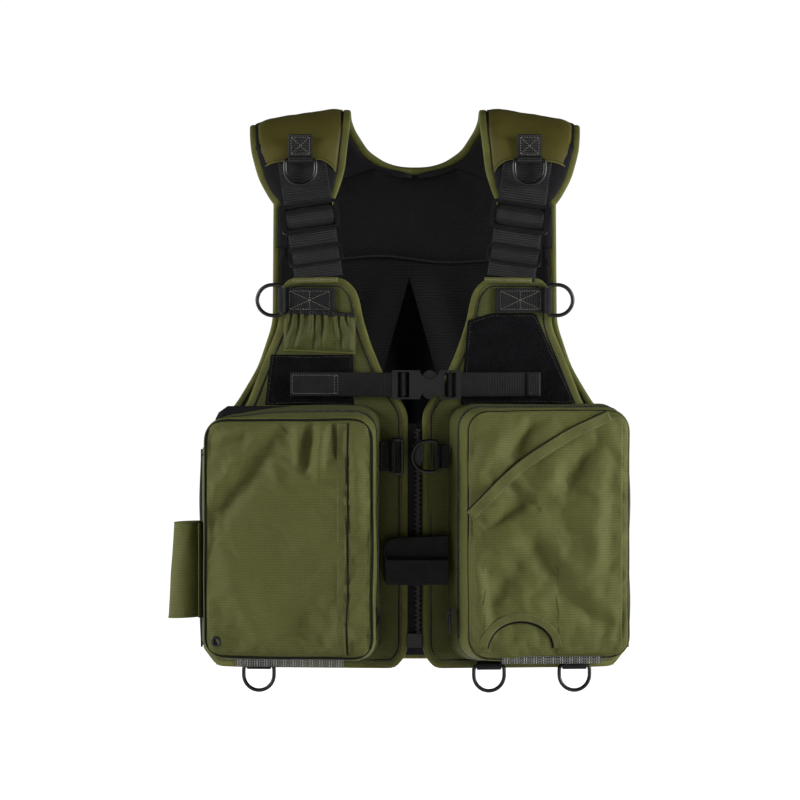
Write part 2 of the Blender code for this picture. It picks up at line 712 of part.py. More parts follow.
def make_front_zip():
    stringer("right_zip_stringer", -1)
    stringer("left_zip_stringer", 1)
    face = FRONT_Y + ZIP_BEHIND - ZIP_TAPE / 2 - GAP - SLIDER
    frame = axes_at((ZIP_X, face, SLIDER_Z), (-1, 0, 0), (0, -1, 0))
    zip_slider("front_zip", frame, FRONT_SLIDER_HALF, FRONT_PULL)
    low = (-8.0, FRONT_Y + 0.5, ZIP_END_Z - 1.6)
    high = (7.0, FRONT_Y + 6.5, ZIP_END_Z + 13.0)
    block("zip_box", low, high, "zip_plastic")


# ---------------------------------------------------------------- pockets and sleeve


def pocket_loop(side, n, inner, outer, low, high, inset):
    """A rectangle with round corners, at this distance out from the front."""
    u0, u1 = inner + inset, outer - inset
    z0, z1 = low + inset, high - inset
    r = CORNER - inset
    points = []
    corners = ((u1 - r, z1 - r, 0), (u0 + r, z1 - r, 90), (u0 + r, z0 + r, 180), (u1 - r, z0 + r, 270))
    for u, z, start in corners:
        points += [front_plane(side, a, n, b) for a, b in arc((u, z), r, start, start + 90, 5)]
    return points


def put_origin(made, point):
    """Moves an object's origin to this point without moving its shape."""
    place = Vector(point) * MM
    made.data.transform(Matrix.Translation(-place))
    made.matrix_world = Matrix.Translation(place)


def lid_hinge(side):
    """Middle of the line about which a pocket's lid swings open."""
    return front_plane(side, HINGE_U, POCKET_SEAM, POCKET_END_Z - HINGE_DROP)


def make_pockets():
    for side, (word, inner, inner_face, outer, face_top) in POCKETS.items():
        back = (inner, outer, POCKET_END_Z, POCKET_TOP_Z)
        face = (inner_face, outer, POCKET_END_Z + FACE_RISE, face_top)
        rim = POCKET_SEAM - GAP
        loft(f"{word}_pocket_back", [
            pocket_loop(side, 2.8, *back, WALL), pocket_loop(side, rim, *back, WALL),
            pocket_loop(side, rim, *back, 0), pocket_loop(side, 0.8, *back, 0),
        ], "olive_fabric")
        rim = POCKET_SEAM + GAP
        lid = loft(f"{word}_pocket_lid", [
            pocket_loop(side, POCKET_DEPTH - WALL, *face, WALL + 2),
            pocket_loop(side, rim, *back, WALL), pocket_loop(side, rim, *back, 0),
            pocket_loop(side, POCKET_DEPTH - 4, *face, 0), pocket_loop(side, POCKET_DEPTH, *face, 3.5),
        ], "olive_fabric")
        put_origin(lid, lid_hinge(side))
        along, _ = front_axes(side)
        place = front_plane(side, inner - GAP - SLIDER, POCKET_SEAM, POCKET_SLIDER_Z)
        frame = axes_at(place, Vector((0, 0, 1)).cross(along), -along)
        zip_slider(f"{word}_pocket_zip", frame, POCKET_SLIDER_HALF, POCKET_PULL)


def make_sleeve():
    """A round holster for a tool, open at both ends, held by a flange at the right side."""
    flange = math.degrees(math.asin(1.5 / SLEEVE_RADIUS))
    outline = [(SLEEVE_FLANGE, -1.5), (SLEEVE_FLANGE, 1.5)]
    outline += arc((0, 0), SLEEVE_RADIUS, flange, 360 - flange, 24)
    hole = arc((0, 0), SLEEVE_RADIUS - SLEEVE_WALL, 0, 345, 24)
    frame = Matrix.Translation(SLEEVE_AT)
    cut_sheet("tool_sleeve", [outline, hole], SLEEVE_LENGTH, "olive_fabric", frame)


make_body()
make_shoulders()
make_rings()
make_centre_rings()
make_chest()
make_front_zip()
make_pockets()
make_sleeve()
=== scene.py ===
"""Looks of the fishing vest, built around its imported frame.

Points are worked out in millimetres, as in the frame's own design, and scaled to metres when a
mesh is made. Right and left are the wearer's: the side is -1 on the right and 1 on the left.
"""

import math
import bmesh
import bpy
import numpy as np
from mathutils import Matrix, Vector, noise
from mathutils.bvhtree import BVHTree
from mathutils.interpolate import poly_3d_calc


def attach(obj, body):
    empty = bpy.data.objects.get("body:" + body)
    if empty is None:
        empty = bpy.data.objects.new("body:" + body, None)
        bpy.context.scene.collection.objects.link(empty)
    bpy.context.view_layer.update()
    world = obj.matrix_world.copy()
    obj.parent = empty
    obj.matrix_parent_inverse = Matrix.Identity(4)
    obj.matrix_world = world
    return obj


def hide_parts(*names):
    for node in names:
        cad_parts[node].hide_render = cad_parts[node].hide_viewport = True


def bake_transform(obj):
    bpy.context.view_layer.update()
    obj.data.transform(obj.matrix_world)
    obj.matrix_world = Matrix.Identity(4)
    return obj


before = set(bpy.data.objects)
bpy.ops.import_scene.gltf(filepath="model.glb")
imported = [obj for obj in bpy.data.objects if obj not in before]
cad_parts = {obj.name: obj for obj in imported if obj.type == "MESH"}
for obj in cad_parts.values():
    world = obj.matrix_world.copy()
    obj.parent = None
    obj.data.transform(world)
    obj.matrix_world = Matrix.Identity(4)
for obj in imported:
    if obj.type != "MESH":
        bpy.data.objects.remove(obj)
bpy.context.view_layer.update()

MM = 0.001
SIDES = ((-1, "right"), (1, "left"))

# Driving sizes of the frame that the soft pieces follow
EDGE_X, FRONT_Y, FRONT_TOP_Z = 9.4, -92.0, -166.0
PANEL_TURN = math.radians(8.0)
SIDE_TURN_X, SIDE_X = 165.0, 227.0
BACK_Y, LEAN_Z = 88.0, -80.0
HEM_Z, ARMHOLE_Z = -570.0, -345.0
ARCH_DEPTH, ARCH_RISE, ARCH_Z = 62.0, 42.6, -30.0
STRAP_TILT = 0.1025
PAD_END_Z = -90.0
NECK_X = 70.0
NARROW, WIDE = 25.0, 50.0
POCKET_SEAM, POCKET_DEPTH, POCKET_END_Z, POCKET_TOP_Z = 27.5, 55.0, -561.0, -297.0
STRAP_Z, BUCKLE_Y = -275.5, -98.6
RINGS_Y, RINGS_Z = -100.5, -350.0
ZIP_X = 3.0
# Depth of the middle of the padding behind the outer face of the body
CORE = 4.3

# Edges of the body as (height, distance from the centre line)
FRONT_INNER = [
    (-570, 24), (-560, 11.5), (-550, 9.4), (-303, 9.4), (-270, 33), (-234, 48), (-208, 56),
    (-186, 60), (-172, 65), (-166, 80),
]
FRONT_OUTER = [
    (-570, 208), (-550, 227), (-345, 227), (-328, 208), (-300, 176), (-250, 156), (-215, 141.5),
    (-172, 140), (-166, 126),
]
BACK_INNER = [
    (-50.6, 0), (-49.4, 18), (-42, 39), (-33, 52), (-22, 59), (-12, 65), (-5, 70), (20, 71.5),
]
BACK_OUTER = [
    (-570, 208), (-552, 227), (-345, 227), (-332, 220), (-303, 190), (-262, 165), (-215, 149),
    (-80, 148), (-45, 152), (-20, 161), (-5, 167), (20, 171),
]
PAD_INNER = [(-90, 91), (-73, 83.5), (-52, 77), (0, 71.5), (20, 71)]
PAD_OUTER = [(-90, 141.5), (-82, 149), (-60, 161), (-25, 168), (20, 171)]
# Low part of the neck as (distance from the centre line, height)
NECK_DIP = [
    (-10.0, -50.6), (0.0, -50.8), (10.0, -50.6), (18.0, -49.8), (28.0, -46.8), (39.0, -42.0),
    (52.0, -33.0),
]

# Folds as (x, z at one end, x, z at the other, half width, height)
FRONT_FOLDS = {
    -1: [
        (-20, -320, -40, -500, 9, 1.8), (-150, -540, -215, -560, 8, 2.2),
        (-30, -540, -60, -565, 8, 2.0), (-60, -300, -20, -330, 7, 1.4),
        (-150, -310, -190, -340, 9, 2.0),
    ],
    1: [
        (18, -320, 22, -520, 8, 1.8), (60, -175, 52, -205, 6, 1.6), (150, -545, 210, -555, 8, 2.2),
        (25, -560, 60, -545, 8, 2.0), (160, -300, 200, -345, 9, 2.0),
    ],
}
BACK_FOLDS = [
    (40, -160, 130, -330, 16, 2.6), (30, -350, 190, -470, 20, 3.0), (70, -520, 200, -560, 12, 2.6),
    (120, -110, 60, -150, 12, 1.8), (10, -430, 60, -540, 14, 2.0), (170, -380, 215, -500, 12, 2.4),
]
LID_FOLDS = {
    -1: [
        (-138, -322, -204, -411, 13, -2.4), (-150, -318, -212, -395, 9, 1.8),
        (-95, -314, -99, -372, 6, 2.0), (-107, -314, -112, -362, 5, -1.5),
        (-120, -314, -121, -356, 5, 1.7), (-84, -314, -80, -350, 5, -1.2),
        (-110, -505, -118, -538, 12, -1.3), (-60, -340, -58, -420, 8, 1.3),
        (-190, -470, -150, -545, 16, 1.6), (-205, -330, -180, -318, 8, 1.6),
        (-60, -500, -85, -550, 10, 1.4),
    ],
    1: [
        (70, -425, 112, -395, 9, -2.2), (78, -442, 125, -427, 12, 2.0),
        (112, -430, 152, -478, 12, -1.9), (140, -440, 170, -490, 14, 1.9),
        (188, -335, 184, -500, 13, 1.4), (203, -345, 200, -470, 8, -1.0),
        (186, -335, 158, -372, 11, -1.6), (150, -350, 128, -385, 10, 1.5),
        (90, -325, 60, -370, 10, 1.7), (125, -312, 100, -345, 8, -1.6),
        (62, -450, 70, -540, 9, 1.4), (75, -500, 105, -470, 12, -1.6),
        (165, -500, 205, -530, 10, -1.5),
    ],
}


# ---------------------------------------------------------------- materials


class Nodes:
    """A node tree under construction, with short calls for what the fabrics share."""

    def __init__(self, tree):
        self.tree = tree

    def fill(self, node, inputs):
        """Sets inputs, each to a constant or to the output of another node."""
        for name, value in inputs.items():
            if isinstance(value, bpy.types.NodeSocket):
                self.tree.links.new(value, node.inputs[name])
            else:
                node.inputs[name].default_value = value

    def add(self, kind, inputs=None, **settings):
        node = self.tree.nodes.new(kind)
        for key, value in settings.items():
            setattr(node, key, value)
        self.fill(node, inputs or {})
        return node

    def coordinates(self, kind):
        return self.add("ShaderNodeTexCoord").outputs[kind]

    def ramp(self, source, low, high, start=0.0, end=1.0):
        """Two colours, or greys, by the value of a pattern."""
        node = self.add("ShaderNodeValToRGB", {"Fac": source})
        for stop, place, colour in zip(node.color_ramp.elements, (start, end), (low, high)):
            stop.position = place
            stop.color = (*(colour if isinstance(colour, tuple) else (colour,) * 3), 1)
        return node.outputs["Color"]

    def spread(self, source, values, onto, **settings):
        """The source's range of values turned into another."""
        inputs = dict(zip(("From Min", "From Max", "To Min", "To Max"), (*values, *onto)))
        return self.add("ShaderNodeMapRange", {**inputs, "Value": source}, **settings).outputs["Result"]


class Look(Nodes):
    """A material with one principled shader, its patterns in metres."""

    def __init__(self, name, colour, roughness, specular=0.35, sheen=0.0):
        self.material = bpy.data.materials.new(name)
        self.material.use_nodes = True
        super().__init__(self.material.node_tree)
        self.shader = self.tree.nodes["Principled BSDF"]
        self.fill(self.shader, {
            "Base Color": (*colour, 1), "Roughness": roughness, "Specular IOR Level": specular,
            "Sheen Weight": sheen, "Sheen Roughness": 0.5,
        })
        self.uv, self.place = self.coordinates("UV"), self.coordinates("Object")

    def wave(self, direction, pitch, distortion=0.0):
        """Bands across this direction of the cloth, one for each pitch."""
        inputs = {
            "Scale": math.pi / (10 * pitch), "Distortion": distortion, "Detail Scale": 0.6,
            "Vector": self.uv,
        }
        return self.add("ShaderNodeTexWave", inputs, bands_direction=direction).outputs["Fac"]

    def noise(self, size, detail=3.0):
        inputs = {"Scale": 1 / size, "Detail": detail, "Vector": self.place}
        return self.add("ShaderNodeTexNoise", inputs).outputs["Fac"]

    def math(self, operation, first, second):
        return self.add("ShaderNodeMath", {0: first, 1: second}, operation=operation).outputs[0]

    def clouds(self, colour, size, detail, low, high, start=0.3, end=0.7):
        """The colour, darker and lighter in patches of this size."""
        return self.ramp(self.noise(size, detail), shade(colour, low), shade(colour, high), start, end)

    def mix(self, first, second, share):
        inputs = {"Factor": share, "A": first, "B": second}
        return self.add("ShaderNodeMix", inputs, data_type="RGBA", blend_type="MULTIPLY").outputs["Result"]

    def paint(self, colour):
        self.fill(self.shader, {"Base Color": colour})

    def relief(self, height, depth, strength=1.0):
        """Bump of this depth."""
        bump = self.add("ShaderNodeBump", {"Strength": strength, "Distance": depth, "Height": height})
        self.fill(self.shader, {"Normal": bump.outputs["Normal"]})

    def rough(self, source, low, high):
        self.fill(self.shader, {"Roughness": self.spread(source, (0.0, 1.0), (low, high))})


def shade(colour, by):
    return tuple(channel * by for channel in colour)


def woven(name, colour, pitch=0.0011, rib=0.0027, rib_share=0.42, roughness=0.6, sheen=0.02):
    """Plain woven nylon: crossing threads, faint ribs across and cloudy wear."""
    made = Look(name, colour, roughness, 0.16, sheen)
    threads = made.math("MULTIPLY", made.wave("X", pitch), made.wave("Y", pitch * 0.93))
    ribs = made.wave("Y", rib, distortion=2.6)
    cloud = made.clouds(colour, 0.055, 4.0, 0.94, 1.06, 0.32, 0.70)
    grain = made.ramp(made.noise(0.0016, 2.0), 0.86, 1.0, 0.35, 0.65)
    lines = made.ramp(ribs, 0.58, 1.0, 0.1, 0.8)
    made.paint(made.mix(made.mix(cloud, grain, 0.8), lines, rib_share))
    made.relief(made.math("ADD", threads, made.math("MULTIPLY", ribs, 0.5)), 0.00016)
    made.rough(made.noise(0.03), roughness - 0.06, roughness + 0.08)
    return made.material


def satin(name, colour):
    """Smooth dense cloth of the yokes, with soft long streaks."""
    made = Look(name, colour, 0.6, 0.14)
    cloud = made.clouds(colour, 0.04, 3.0, 0.88, 1.1)
    twill = made.wave("DIAGONAL", 0.0013)
    made.paint(made.mix(cloud, made.ramp(twill, 0.8, 1.0), 0.5))
    made.relief(twill, 0.00006)
    made.rough(made.noise(0.02), 0.52, 0.66)
    return made.material


def tape(name, colour):
    """Grosgrain: fine cords across the tape."""
    made = Look(name, colour, 0.65, 0.14)
    cords = made.wave("Y", 0.0013)
    cloud = made.clouds(colour, 0.02, 4.0, 0.82, 1.2)
    made.paint(made.mix(cloud, made.ramp(cords, 0.7, 1.0), 0.5))
    made.relief(cords, 0.00012)
    return made.material


def webbing(name, colour):
    """Nylon webbing: a weave across the ribs that its shape already has."""
    made = Look(name, colour, 0.55, 0.22)
    rib, pick = made.wave("Y", 0.0026, distortion=0.8), made.wave("X", 0.0012)
    cloud = made.clouds(colour, 0.012, 4.0, 0.7, 1.5, 0.3, 0.72)
    made.paint(made.mix(cloud, made.ramp(rib, 0.35, 1.0), 0.8))
    made.relief(made.math("MULTIPLY", rib, pick), 0.0003)
    made.rough(made.noise(0.004), 0.5, 0.72)
    return made.material


def air_mesh(name, colour, cell=0.0034):
    """Spacer mesh: a net of round holes over a darker ground."""
    made = Look(name, colour, 0.7, 0.12)
    inputs = {"Scale": 1 / cell, "Randomness": 0.0}
    cells = made.add("ShaderNodeTexVoronoi", inputs, feature="F1", voronoi_dimensions="2D")
    inputs = {"Rotation": (0, 0, math.radians(32)), "Scale": (1.0, 1.5, 1.0), "Vector": made.uv}
    turn = made.add("ShaderNodeMapping", inputs)
    made.fill(cells, {"Vector": turn.outputs["Vector"]})
    holes = cells.outputs["Distance"]
    made.paint(made.ramp(holes, shade(colour, 0.25), shade(colour, 1.35), 0.18, 0.5))
    made.relief(holes, 0.0009, 0.8)
    return made.material


def ribbed_mesh(name, colour, pitch=0.0031):
    """Thin lining net with ribs across."""
    made = Look(name, colour, 0.75, 0.12)
    ribs, dots = made.wave("Y", pitch), made.wave("X", 0.002)
    both = made.math("MULTIPLY", ribs, dots)
    made.paint(made.ramp(both, shade(colour, 0.5), shade(colour, 1.6), 0.1, 0.8))
    made.relief(made.math("ADD", ribs, made.math("MULTIPLY", dots, 0.3)), 0.0005)
    return made.material


def fuzzy(name, colour):
    """Loop fastener: a close pile of tiny loops."""
    made = Look(name, colour, 0.95, 0.06)
    pile = made.noise(0.0014, 6.0)
    patch = made.clouds(colour, 0.018, 3.0, 0.75, 1.35)
    made.paint(made.mix(patch, made.ramp(pile, 0.25, 1.0, 0.35, 0.62), 0.9))
    made.relief(pile, 0.0012)
    return made.material


def moulded(name, colour, roughness=0.3):
    """Moulded acetal: fine spark-eroded grain, with handling marks in the gloss."""
    made = Look(name, colour, roughness, 0.45)
    marks = made.noise(0.006, 5.0)
    made.paint(made.clouds(colour, 0.015, 3.0, 0.8, 1.3))
    made.relief(made.noise(0.0005, 2.0), 0.000006)
    made.rough(marks, roughness - 0.08, roughness + 0.14)
    return made.material


def thread(name, colour):
    made = Look(name, colour, 0.6, 0.3, 0.2)
    twist = made.noise(0.0006, 2.0)
    made.paint(made.ramp(twist, shade(colour, 0.6), shade(colour, 1.2)))
    made.relief(twist, 0.0001)
    return made.material


def floor_paint(name):
    """White paint that glows from behind the vest outwards, and far off all round."""
    made = Look(name, (0.9, 0.9, 0.9), 0.9, 0.1)
    split = made.add("ShaderNodeSeparateXYZ", {"Vector": made.place})
    soft_step = {"interpolation_type": "SMOOTHSTEP"}
    glow = made.spread(split.outputs["Y"], (-0.12, 0.235), (0.12, 1.0), **soft_step)
    reach = made.add("ShaderNodeVectorMath", {0: made.place}, operation="LENGTH")
    far = made.spread(reach.outputs["Value"], (2.0, 4.6), (0.0, 1.0), **soft_step)
    strength = made.math("MAXIMUM", glow, far)
    made.fill(made.shader, {"Emission Color": (1, 1, 1, 1), "Emission Strength": strength})
    made.paint(made.ramp(made.noise(0.5), 0.89, 0.91))
    return made.material


# The looks of each material slot of the record
FABRICS = {
    "olive_fabric": {
        "olive": woven("olive_nylon", (0.071, 0.075, 0.0195)),
        # The same olive nylon painted lighter: painted light, a lit copy of the cloth for the pocket lids
        # and the tool sleeve that stand out into the light
        "olive_painted_lighter": woven("olive_nylon_painted_lighter", (0.104, 0.108, 0.0285)),
        "yoke": satin("olive_satin", (0.072, 0.064, 0.0125)),
        "binding": tape("olive_binding", (0.100, 0.103, 0.026)),
        "strip": tape("olive_tape", (0.098, 0.100, 0.030)),
        "olive_thread": thread("olive_thread", (0.135, 0.140, 0.052)),
        "dark_thread": thread("dark_thread", (0.020, 0.021, 0.008)),
    },
    "black_fabric": {
        "piping": tape("dark_piping", (0.0070, 0.0070, 0.0058)),
        "lining": woven("black_lining", (0.0056, 0.0052, 0.0068), 0.0012, 0.003, 0.2, 0.7, 0.0),
        "mesh": air_mesh("black_air_mesh", (0.0036, 0.0037, 0.0040)),
        "ribbed": ribbed_mesh("black_ribbed_mesh", (0.0042, 0.0043, 0.0045)),
        "net": ribbed_mesh("grey_drain_net", (0.30, 0.30, 0.29), 0.0024),
        "zip_tape": tape("black_zip_tape", (0.0060, 0.0060, 0.0063)),
    },
    "webbing": {
        "webbing": webbing("black_webbing", (0.0085, 0.0085, 0.0089)),
        "light_thread": thread("pale_thread", (0.21, 0.20, 0.155)),
    },
    "loop_fabric": {"loop": fuzzy("black_loop_pile", (0.0065, 0.0065, 0.0075))},
    "black_plastic": {
        "plastic": moulded("black_acetal", (0.0032, 0.0032, 0.0034)),
        "eyelet": moulded("black_eyelet", (0.006, 0.006, 0.006)),
    },
    "zip_plastic": {"zip": moulded("zip_acetal", (0.010, 0.010, 0.010), 0.38)},
}
LOOKS = {look: made for looks in FABRICS.values() for look, made in looks.items()}


# ---------------------------------------------------------------- mesh helpers


def unit(vectors):
    vectors = np.asarray(vectors, float)
    return vectors / np.maximum(np.linalg.norm(vectors, axis=-1, keepdims=True), 1e-9)


def soft(table, at, reach=9.0):
    """The value of a table of (position, value) pairs, its corners rounded over this reach."""
    positions, values = zip(*table)
    return float(np.mean(np.interp(at + np.linspace(-reach, reach, 9), positions, values)))


def cumulative(points):
    """How far along the line each of its points is."""
    steps = np.linalg.norm(np.diff(points, axis=0), axis=-1)
    return np.concatenate([[0], np.cumsum(steps)])


def even(points, step, extra=None):
    """The line with its points an even step apart; extra is carried along with it."""
    points = np.asarray(points, float)
    run = cumulative(points)
    at = np.linspace(0, run[-1], max(2, round(run[-1] / step) + 1))
    line = np.column_stack([np.interp(at, run, column) for column in points.T])
    if extra is None:
        return line
    return line, unit(np.column_stack([np.interp(at, run, column) for column in np.transpose(extra)]))


def curved(points, step):
    """A smooth line through the points, with its own points an even step apart."""
    points = np.asarray(points, float)
    padded = np.vstack([2 * points[0] - points[1], points, 2 * points[-1] - points[-2]])
    t = np.linspace(0, 1, 12, endpoint=False)[:, None]
    line = []
    for a, b, c, d in zip(padded, padded[1:], padded[2:], padded[3:]):
        square, cube = 2 * a - 5 * b + 4 * c - d, 3 * b - a - 3 * c + d
        line.append(0.5 * (2 * b + (c - a) * t + square * t**2 + cube * t**3))
    return even(np.vstack(line + [points[-1:]]), step)


def ease(points, passes=2):
    """The same line with its corners rounded off."""
    points = np.array(points, float)
    for _ in range(passes):
        points[1:-1] = (points[:-2] + 2 * points[1:-1] + points[2:]) / 4
    return points


def mirrored(path):
    return [np.array((-p[0], p[1], p[2])) for p in path]


def own(made, look, body="vest", stands_for=()):
    """Gives a piece its material, and lets it ride on its body."""
    made.data.materials.clear()
    made.data.materials.append(LOOKS[look])
    if body:
        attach(made, body)
    if stands_for:
        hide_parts(*stands_for)
    return made


def show(name, data):
    made = bpy.data.objects.new(name, data)
    bpy.context.scene.collection.objects.link(made)
    return made


def piece(name, points, faces, uvs, look, **riding):
    """A mesh from points in millimetres; uvs hold one pair for each corner of each face."""
    data = bpy.data.meshes.new(name)
    data.from_pydata((np.asarray(points, float) * MM).tolist(), [], [list(map(int, f)) for f in faces])
    layer = data.uv_layers.new(name="UVMap")
    layer.data.foreach_set("uv", (np.asarray(uvs, np.float32) * MM).ravel())
    data.shade_smooth()
    return own(show(name, data), look, **riding)


def settle(made, weld=True):
    """Welds points that lie on each other, and turns the faces outwards."""
    bm = bmesh.new()
    bm.from_mesh(made.data)
    if weld:
        bmesh.ops.remove_doubles(bm, verts=bm.verts[:], dist=1e-6)
    bmesh.ops.recalc_face_normals(bm, faces=bm.faces[:])
    bm.to_mesh(made.data)
    bm.free()
    return made


def split(rows):
    """One grid of points for each layer, from rows that hold every layer's point at each place."""
    return [[[spot[layer] for spot in row] for row in rows] for layer in range(len(rows[0][0]))]


def quads(count, width, wrap=False):
    """Faces of a grid of points, and for each corner its row and column."""
    faces, corners = [], []
    for i in range(count - 1):
        for j in range(width if wrap else width - 1):
            k = (j + 1) % width
            faces.append((i * width + j, i * width + k, (i + 1) * width + k, (i + 1) * width + j))
            corners += [(i, j), (i, j + 1), (i + 1, j + 1), (i + 1, j)]
    return faces, np.array(corners)


def skin(name, rows, look, thick=0.6, uv=None, **riding):
    """One layer of cloth through a grid of points, with the thickness of the cloth."""
    rows = np.asarray(rows, float)
    faces, corners = quads(*rows.shape[:2])
    if uv is None:
        uv = unrolled(rows.mean(axis=0), rows.mean(axis=1))
    uvs = np.asarray(uv, float)[corners[:, 0], corners[:, 1]]
    made = piece(name, rows.reshape(-1, 3), faces, uvs, look, **riding)
    if thick:
        solid = made.modifiers.new("thickness", "SOLIDIFY")
        solid.thickness = thick * MM
        solid.offset = 0.0
    return made


def unrolled(across, along):
    """Flat places of a grid, by the lengths of a line across it and of a line along it."""
    return [[(s, t) for s in cumulative(across)] for t in cumulative(along)]


def cushion(name, top, bottom, look, uv=None, open_rows=0, **riding):
    """A closed form between two grids of points that are joined round their edge.

    The first column stays open up to open_rows, where a mirrored half joins it.
    """
    top, bottom = np.asarray(top, float), np.asarray(bottom, float)
    count, width = top.shape[:2]
    size = count * width
    faces, corners = quads(count, width)
    if uv is None:
        middle = (top + bottom) / 2
        across = np.array([cumulative(row) - cumulative(row)[-1] / 2 for row in middle])
        along = np.repeat(cumulative(middle[:, width // 2])[:, None], width, axis=1)
        uv = np.stack([across, along], axis=-1)
    below = [tuple(size + v for v in face[::-1]) for face in faces]
    turned = corners.reshape(-1, 4, 2)[:, ::-1].reshape(-1, 2)
    rim = [(0, j) for j in range(width)] + [(i, width - 1) for i in range(1, count)]
    rim += [(count - 1, j) for j in range(width - 2, -1, -1)]
    rim += [(i, 0) for i in range(count - 2, 0, -1)]
    sides, side_corners = [], []
    for a, b in zip(rim, rim[1:] + rim[:1]):
        if a[1] == b[1] == 0 and max(a[0], b[0]) <= open_rows:
            continue
        first, second = a[0] * width + a[1], b[0] * width + b[1]
        sides.append((second, first, size + first, size + second))
        side_corners += [b, a, a, b]
    corners = np.vstack([corners, turned, np.array(side_corners)])
    uvs = np.asarray(uv, float)[corners[:, 0], corners[:, 1]]
    points = np.vstack([top.reshape(-1, 3), bottom.reshape(-1, 3)])
    return settle(piece(name, points, faces + below + sides, uvs, look, **riding), weld=False)


def other_half(made):
    mirror = made.modifiers.new("other half", "MIRROR")
    mirror.merge_threshold = 0.0002


def sweep(name, path, outs, profile, look, closed=False, ribs=None, **riding):
    """A profile of (across, out) points carried along a path; ribs are (pitch, depth) across it."""
    path = np.asarray(path, float)
    outs = np.broadcast_to(np.asarray(outs, float), path.shape)
    if closed:
        tangents = unit(np.roll(path, -1, axis=0) - np.roll(path, 1, axis=0))
    else:
        tangents = unit(np.gradient(path, axis=0))
    across = unit(np.cross(tangents, outs))
    outward = unit(np.cross(across, tangents))
    profile = np.asarray(profile, float)
    run = cumulative(path)
    lift = np.zeros(len(path)) if ribs is None else ribs[1] * np.cos(2 * np.pi * run / ribs[0])
    rise = profile[None, :, 1] + lift[:, None] * np.sign(profile[None, :, 1])
    rows = path[:, None] + profile[None, :, 0, None] * across[:, None] + rise[..., None] * outward[:, None]
    if closed:
        rows = np.concatenate([rows, rows[:1]])
        run = np.append(run, run[-1] + np.linalg.norm(path[0] - path[-1]))
    count, width = rows.shape[:2]
    faces, corners = quads(count, width, wrap=True)
    round_it = cumulative(np.vstack([profile, profile[:1]]))
    uvs = np.column_stack([round_it[corners[:, 1]], run[corners[:, 0]]])
    if not closed:
        faces += [tuple(range(width))[::-1], tuple((count - 1) * width + j for j in range(width))]
        uvs = np.vstack([uvs, profile[::-1], profile])
    return settle(piece(name, rows.reshape(-1, 3), faces, uvs, look, **riding))


def oval(width, height, steps=12, across=0.0, power=0.75):
    """A rounded profile: an ellipse drawn out towards its corners."""
    angles = np.linspace(0, 2 * np.pi, steps, endpoint=False) + np.pi / steps
    sides = (np.cos(angles), width, across), (np.sin(angles), height, 0.0)
    return np.column_stack([
        middle + size / 2 * np.sign(part) * np.abs(part) ** power for part, size, middle in sides
    ])


def flat_web(width, thick):
    """Profile of webbing, with its edges a little rounded and room for ribs."""
    half, edge = width / 2, thick * 0.3
    line = [(-half, -edge), (-half + 0.5, -thick / 2)]
    line += [(x, -thick / 2) for x in np.linspace(-half + 3, half - 3, 5)]
    line += [(half - 0.5, -thick / 2), (half, -edge)]
    return line + [(-x, -y) for x, y in line]


def stitches(name, runs, look="olive_thread", pitch=3.0, long=2.2, wide=0.7, **riding):
    """Short stitches along each run, a run being a path and the directions that face out of it."""
    points, faces = [], []
    for path, outs in runs:
        path = np.asarray(path, float)
        line, facing = even(path, pitch, np.broadcast_to(np.asarray(outs, float), path.shape))
        run = unit(np.diff(line, axis=0))
        for middle, along, out in zip((line[1:] + line[:-1]) / 2, run, facing[:-1]):
            side = np.cross(along, out)
            at = len(points)
            points += [middle + sign * along * long / 2 - out * 0.2 for sign in (-1, 1)]
            points += [middle + side * wide / 2, middle + out * wide / 2]
            points += [middle - side * wide / 2, middle - out * wide / 2]
            for j in range(4):
                a, b = at + 2 + j, at + 2 + (j + 1) % 4
                faces += [(at, a, b), (at + 1, b, a)]
    uvs = np.zeros((3 * len(faces), 2))
    return settle(piece(name, points, faces, uvs, look, **riding), weld=False)


def rounded(v, power=0.45):
    return np.sign(v) * np.abs(v) ** power


def pebbles(name, places, axes, sizes, look, **riding):
    """Small rounded blocks at these places; each size is along the axes."""
    round_it = np.linspace(0, 2 * math.pi, 12, endpoint=False) + math.pi / 12
    shell = []
    for up in np.linspace(-math.pi / 2, math.pi / 2, 6):
        wide, high = rounded(np.cos(up)), rounded(np.sin(up))
        shell += [(wide * rounded(np.cos(a)), wide * rounded(np.sin(a)), high) for a in round_it]
    block, _ = quads(6, 12, wrap=True)
    points, faces = [], []
    for k, place in enumerate(places):
        local = axes[k] if np.ndim(axes) == 3 else axes
        at = len(points)
        points += list(np.asarray(place) + (np.array(shell) * np.asarray(sizes) / 2) @ np.asarray(local))
        faces += [tuple(at + v for v in face) for face in block]
    return settle(piece(name, points, faces, np.zeros((4 * len(faces), 2)), look, **riding))


# ---------------------------------------------------------------- cloth


def vertices_of(data):
    points = np.zeros(len(data.vertices) * 3, np.float32)
    data.vertices.foreach_get("co", points)
    return points.reshape(-1, 3)


def taken_from(made):
    """(points, faces as vertex lists, one UV for each vertex) of a mesh."""
    data = made.data
    uvs = np.zeros((len(data.vertices), 2))
    for loop, corner in zip(data.loops, data.uv_layers[0].data):
        uvs[loop.vertex_index] = corner.uv
    return vertices_of(data), [list(p.vertices) for p in data.polygons], uvs


def lay_uvs(data, points, faces, uvs):
    """Gives a remeshed form the UVs of the nearest place on the form that it was made from."""
    tree = BVHTree.FromPolygons([Vector(p) for p in points], faces)
    found = np.zeros((len(data.vertices), 2))
    for vertex in data.vertices:
        place, _, index, _ = tree.find_nearest(vertex.co)
        face = faces[index]
        weights = poly_3d_calc([Vector(points[v]) for v in face], place)
        found[vertex.index] = np.array(weights) @ uvs[face]
    layer = data.uv_layers.new(name="UVMap")
    for loop in data.loops:
        layer.data[loop.index].uv = found[loop.vertex_index]


def evaluated_mesh(made):
    graph = bpy.context.evaluated_depsgraph_get()
    return bpy.data.meshes.new_from_object(made.evaluated_get(graph))


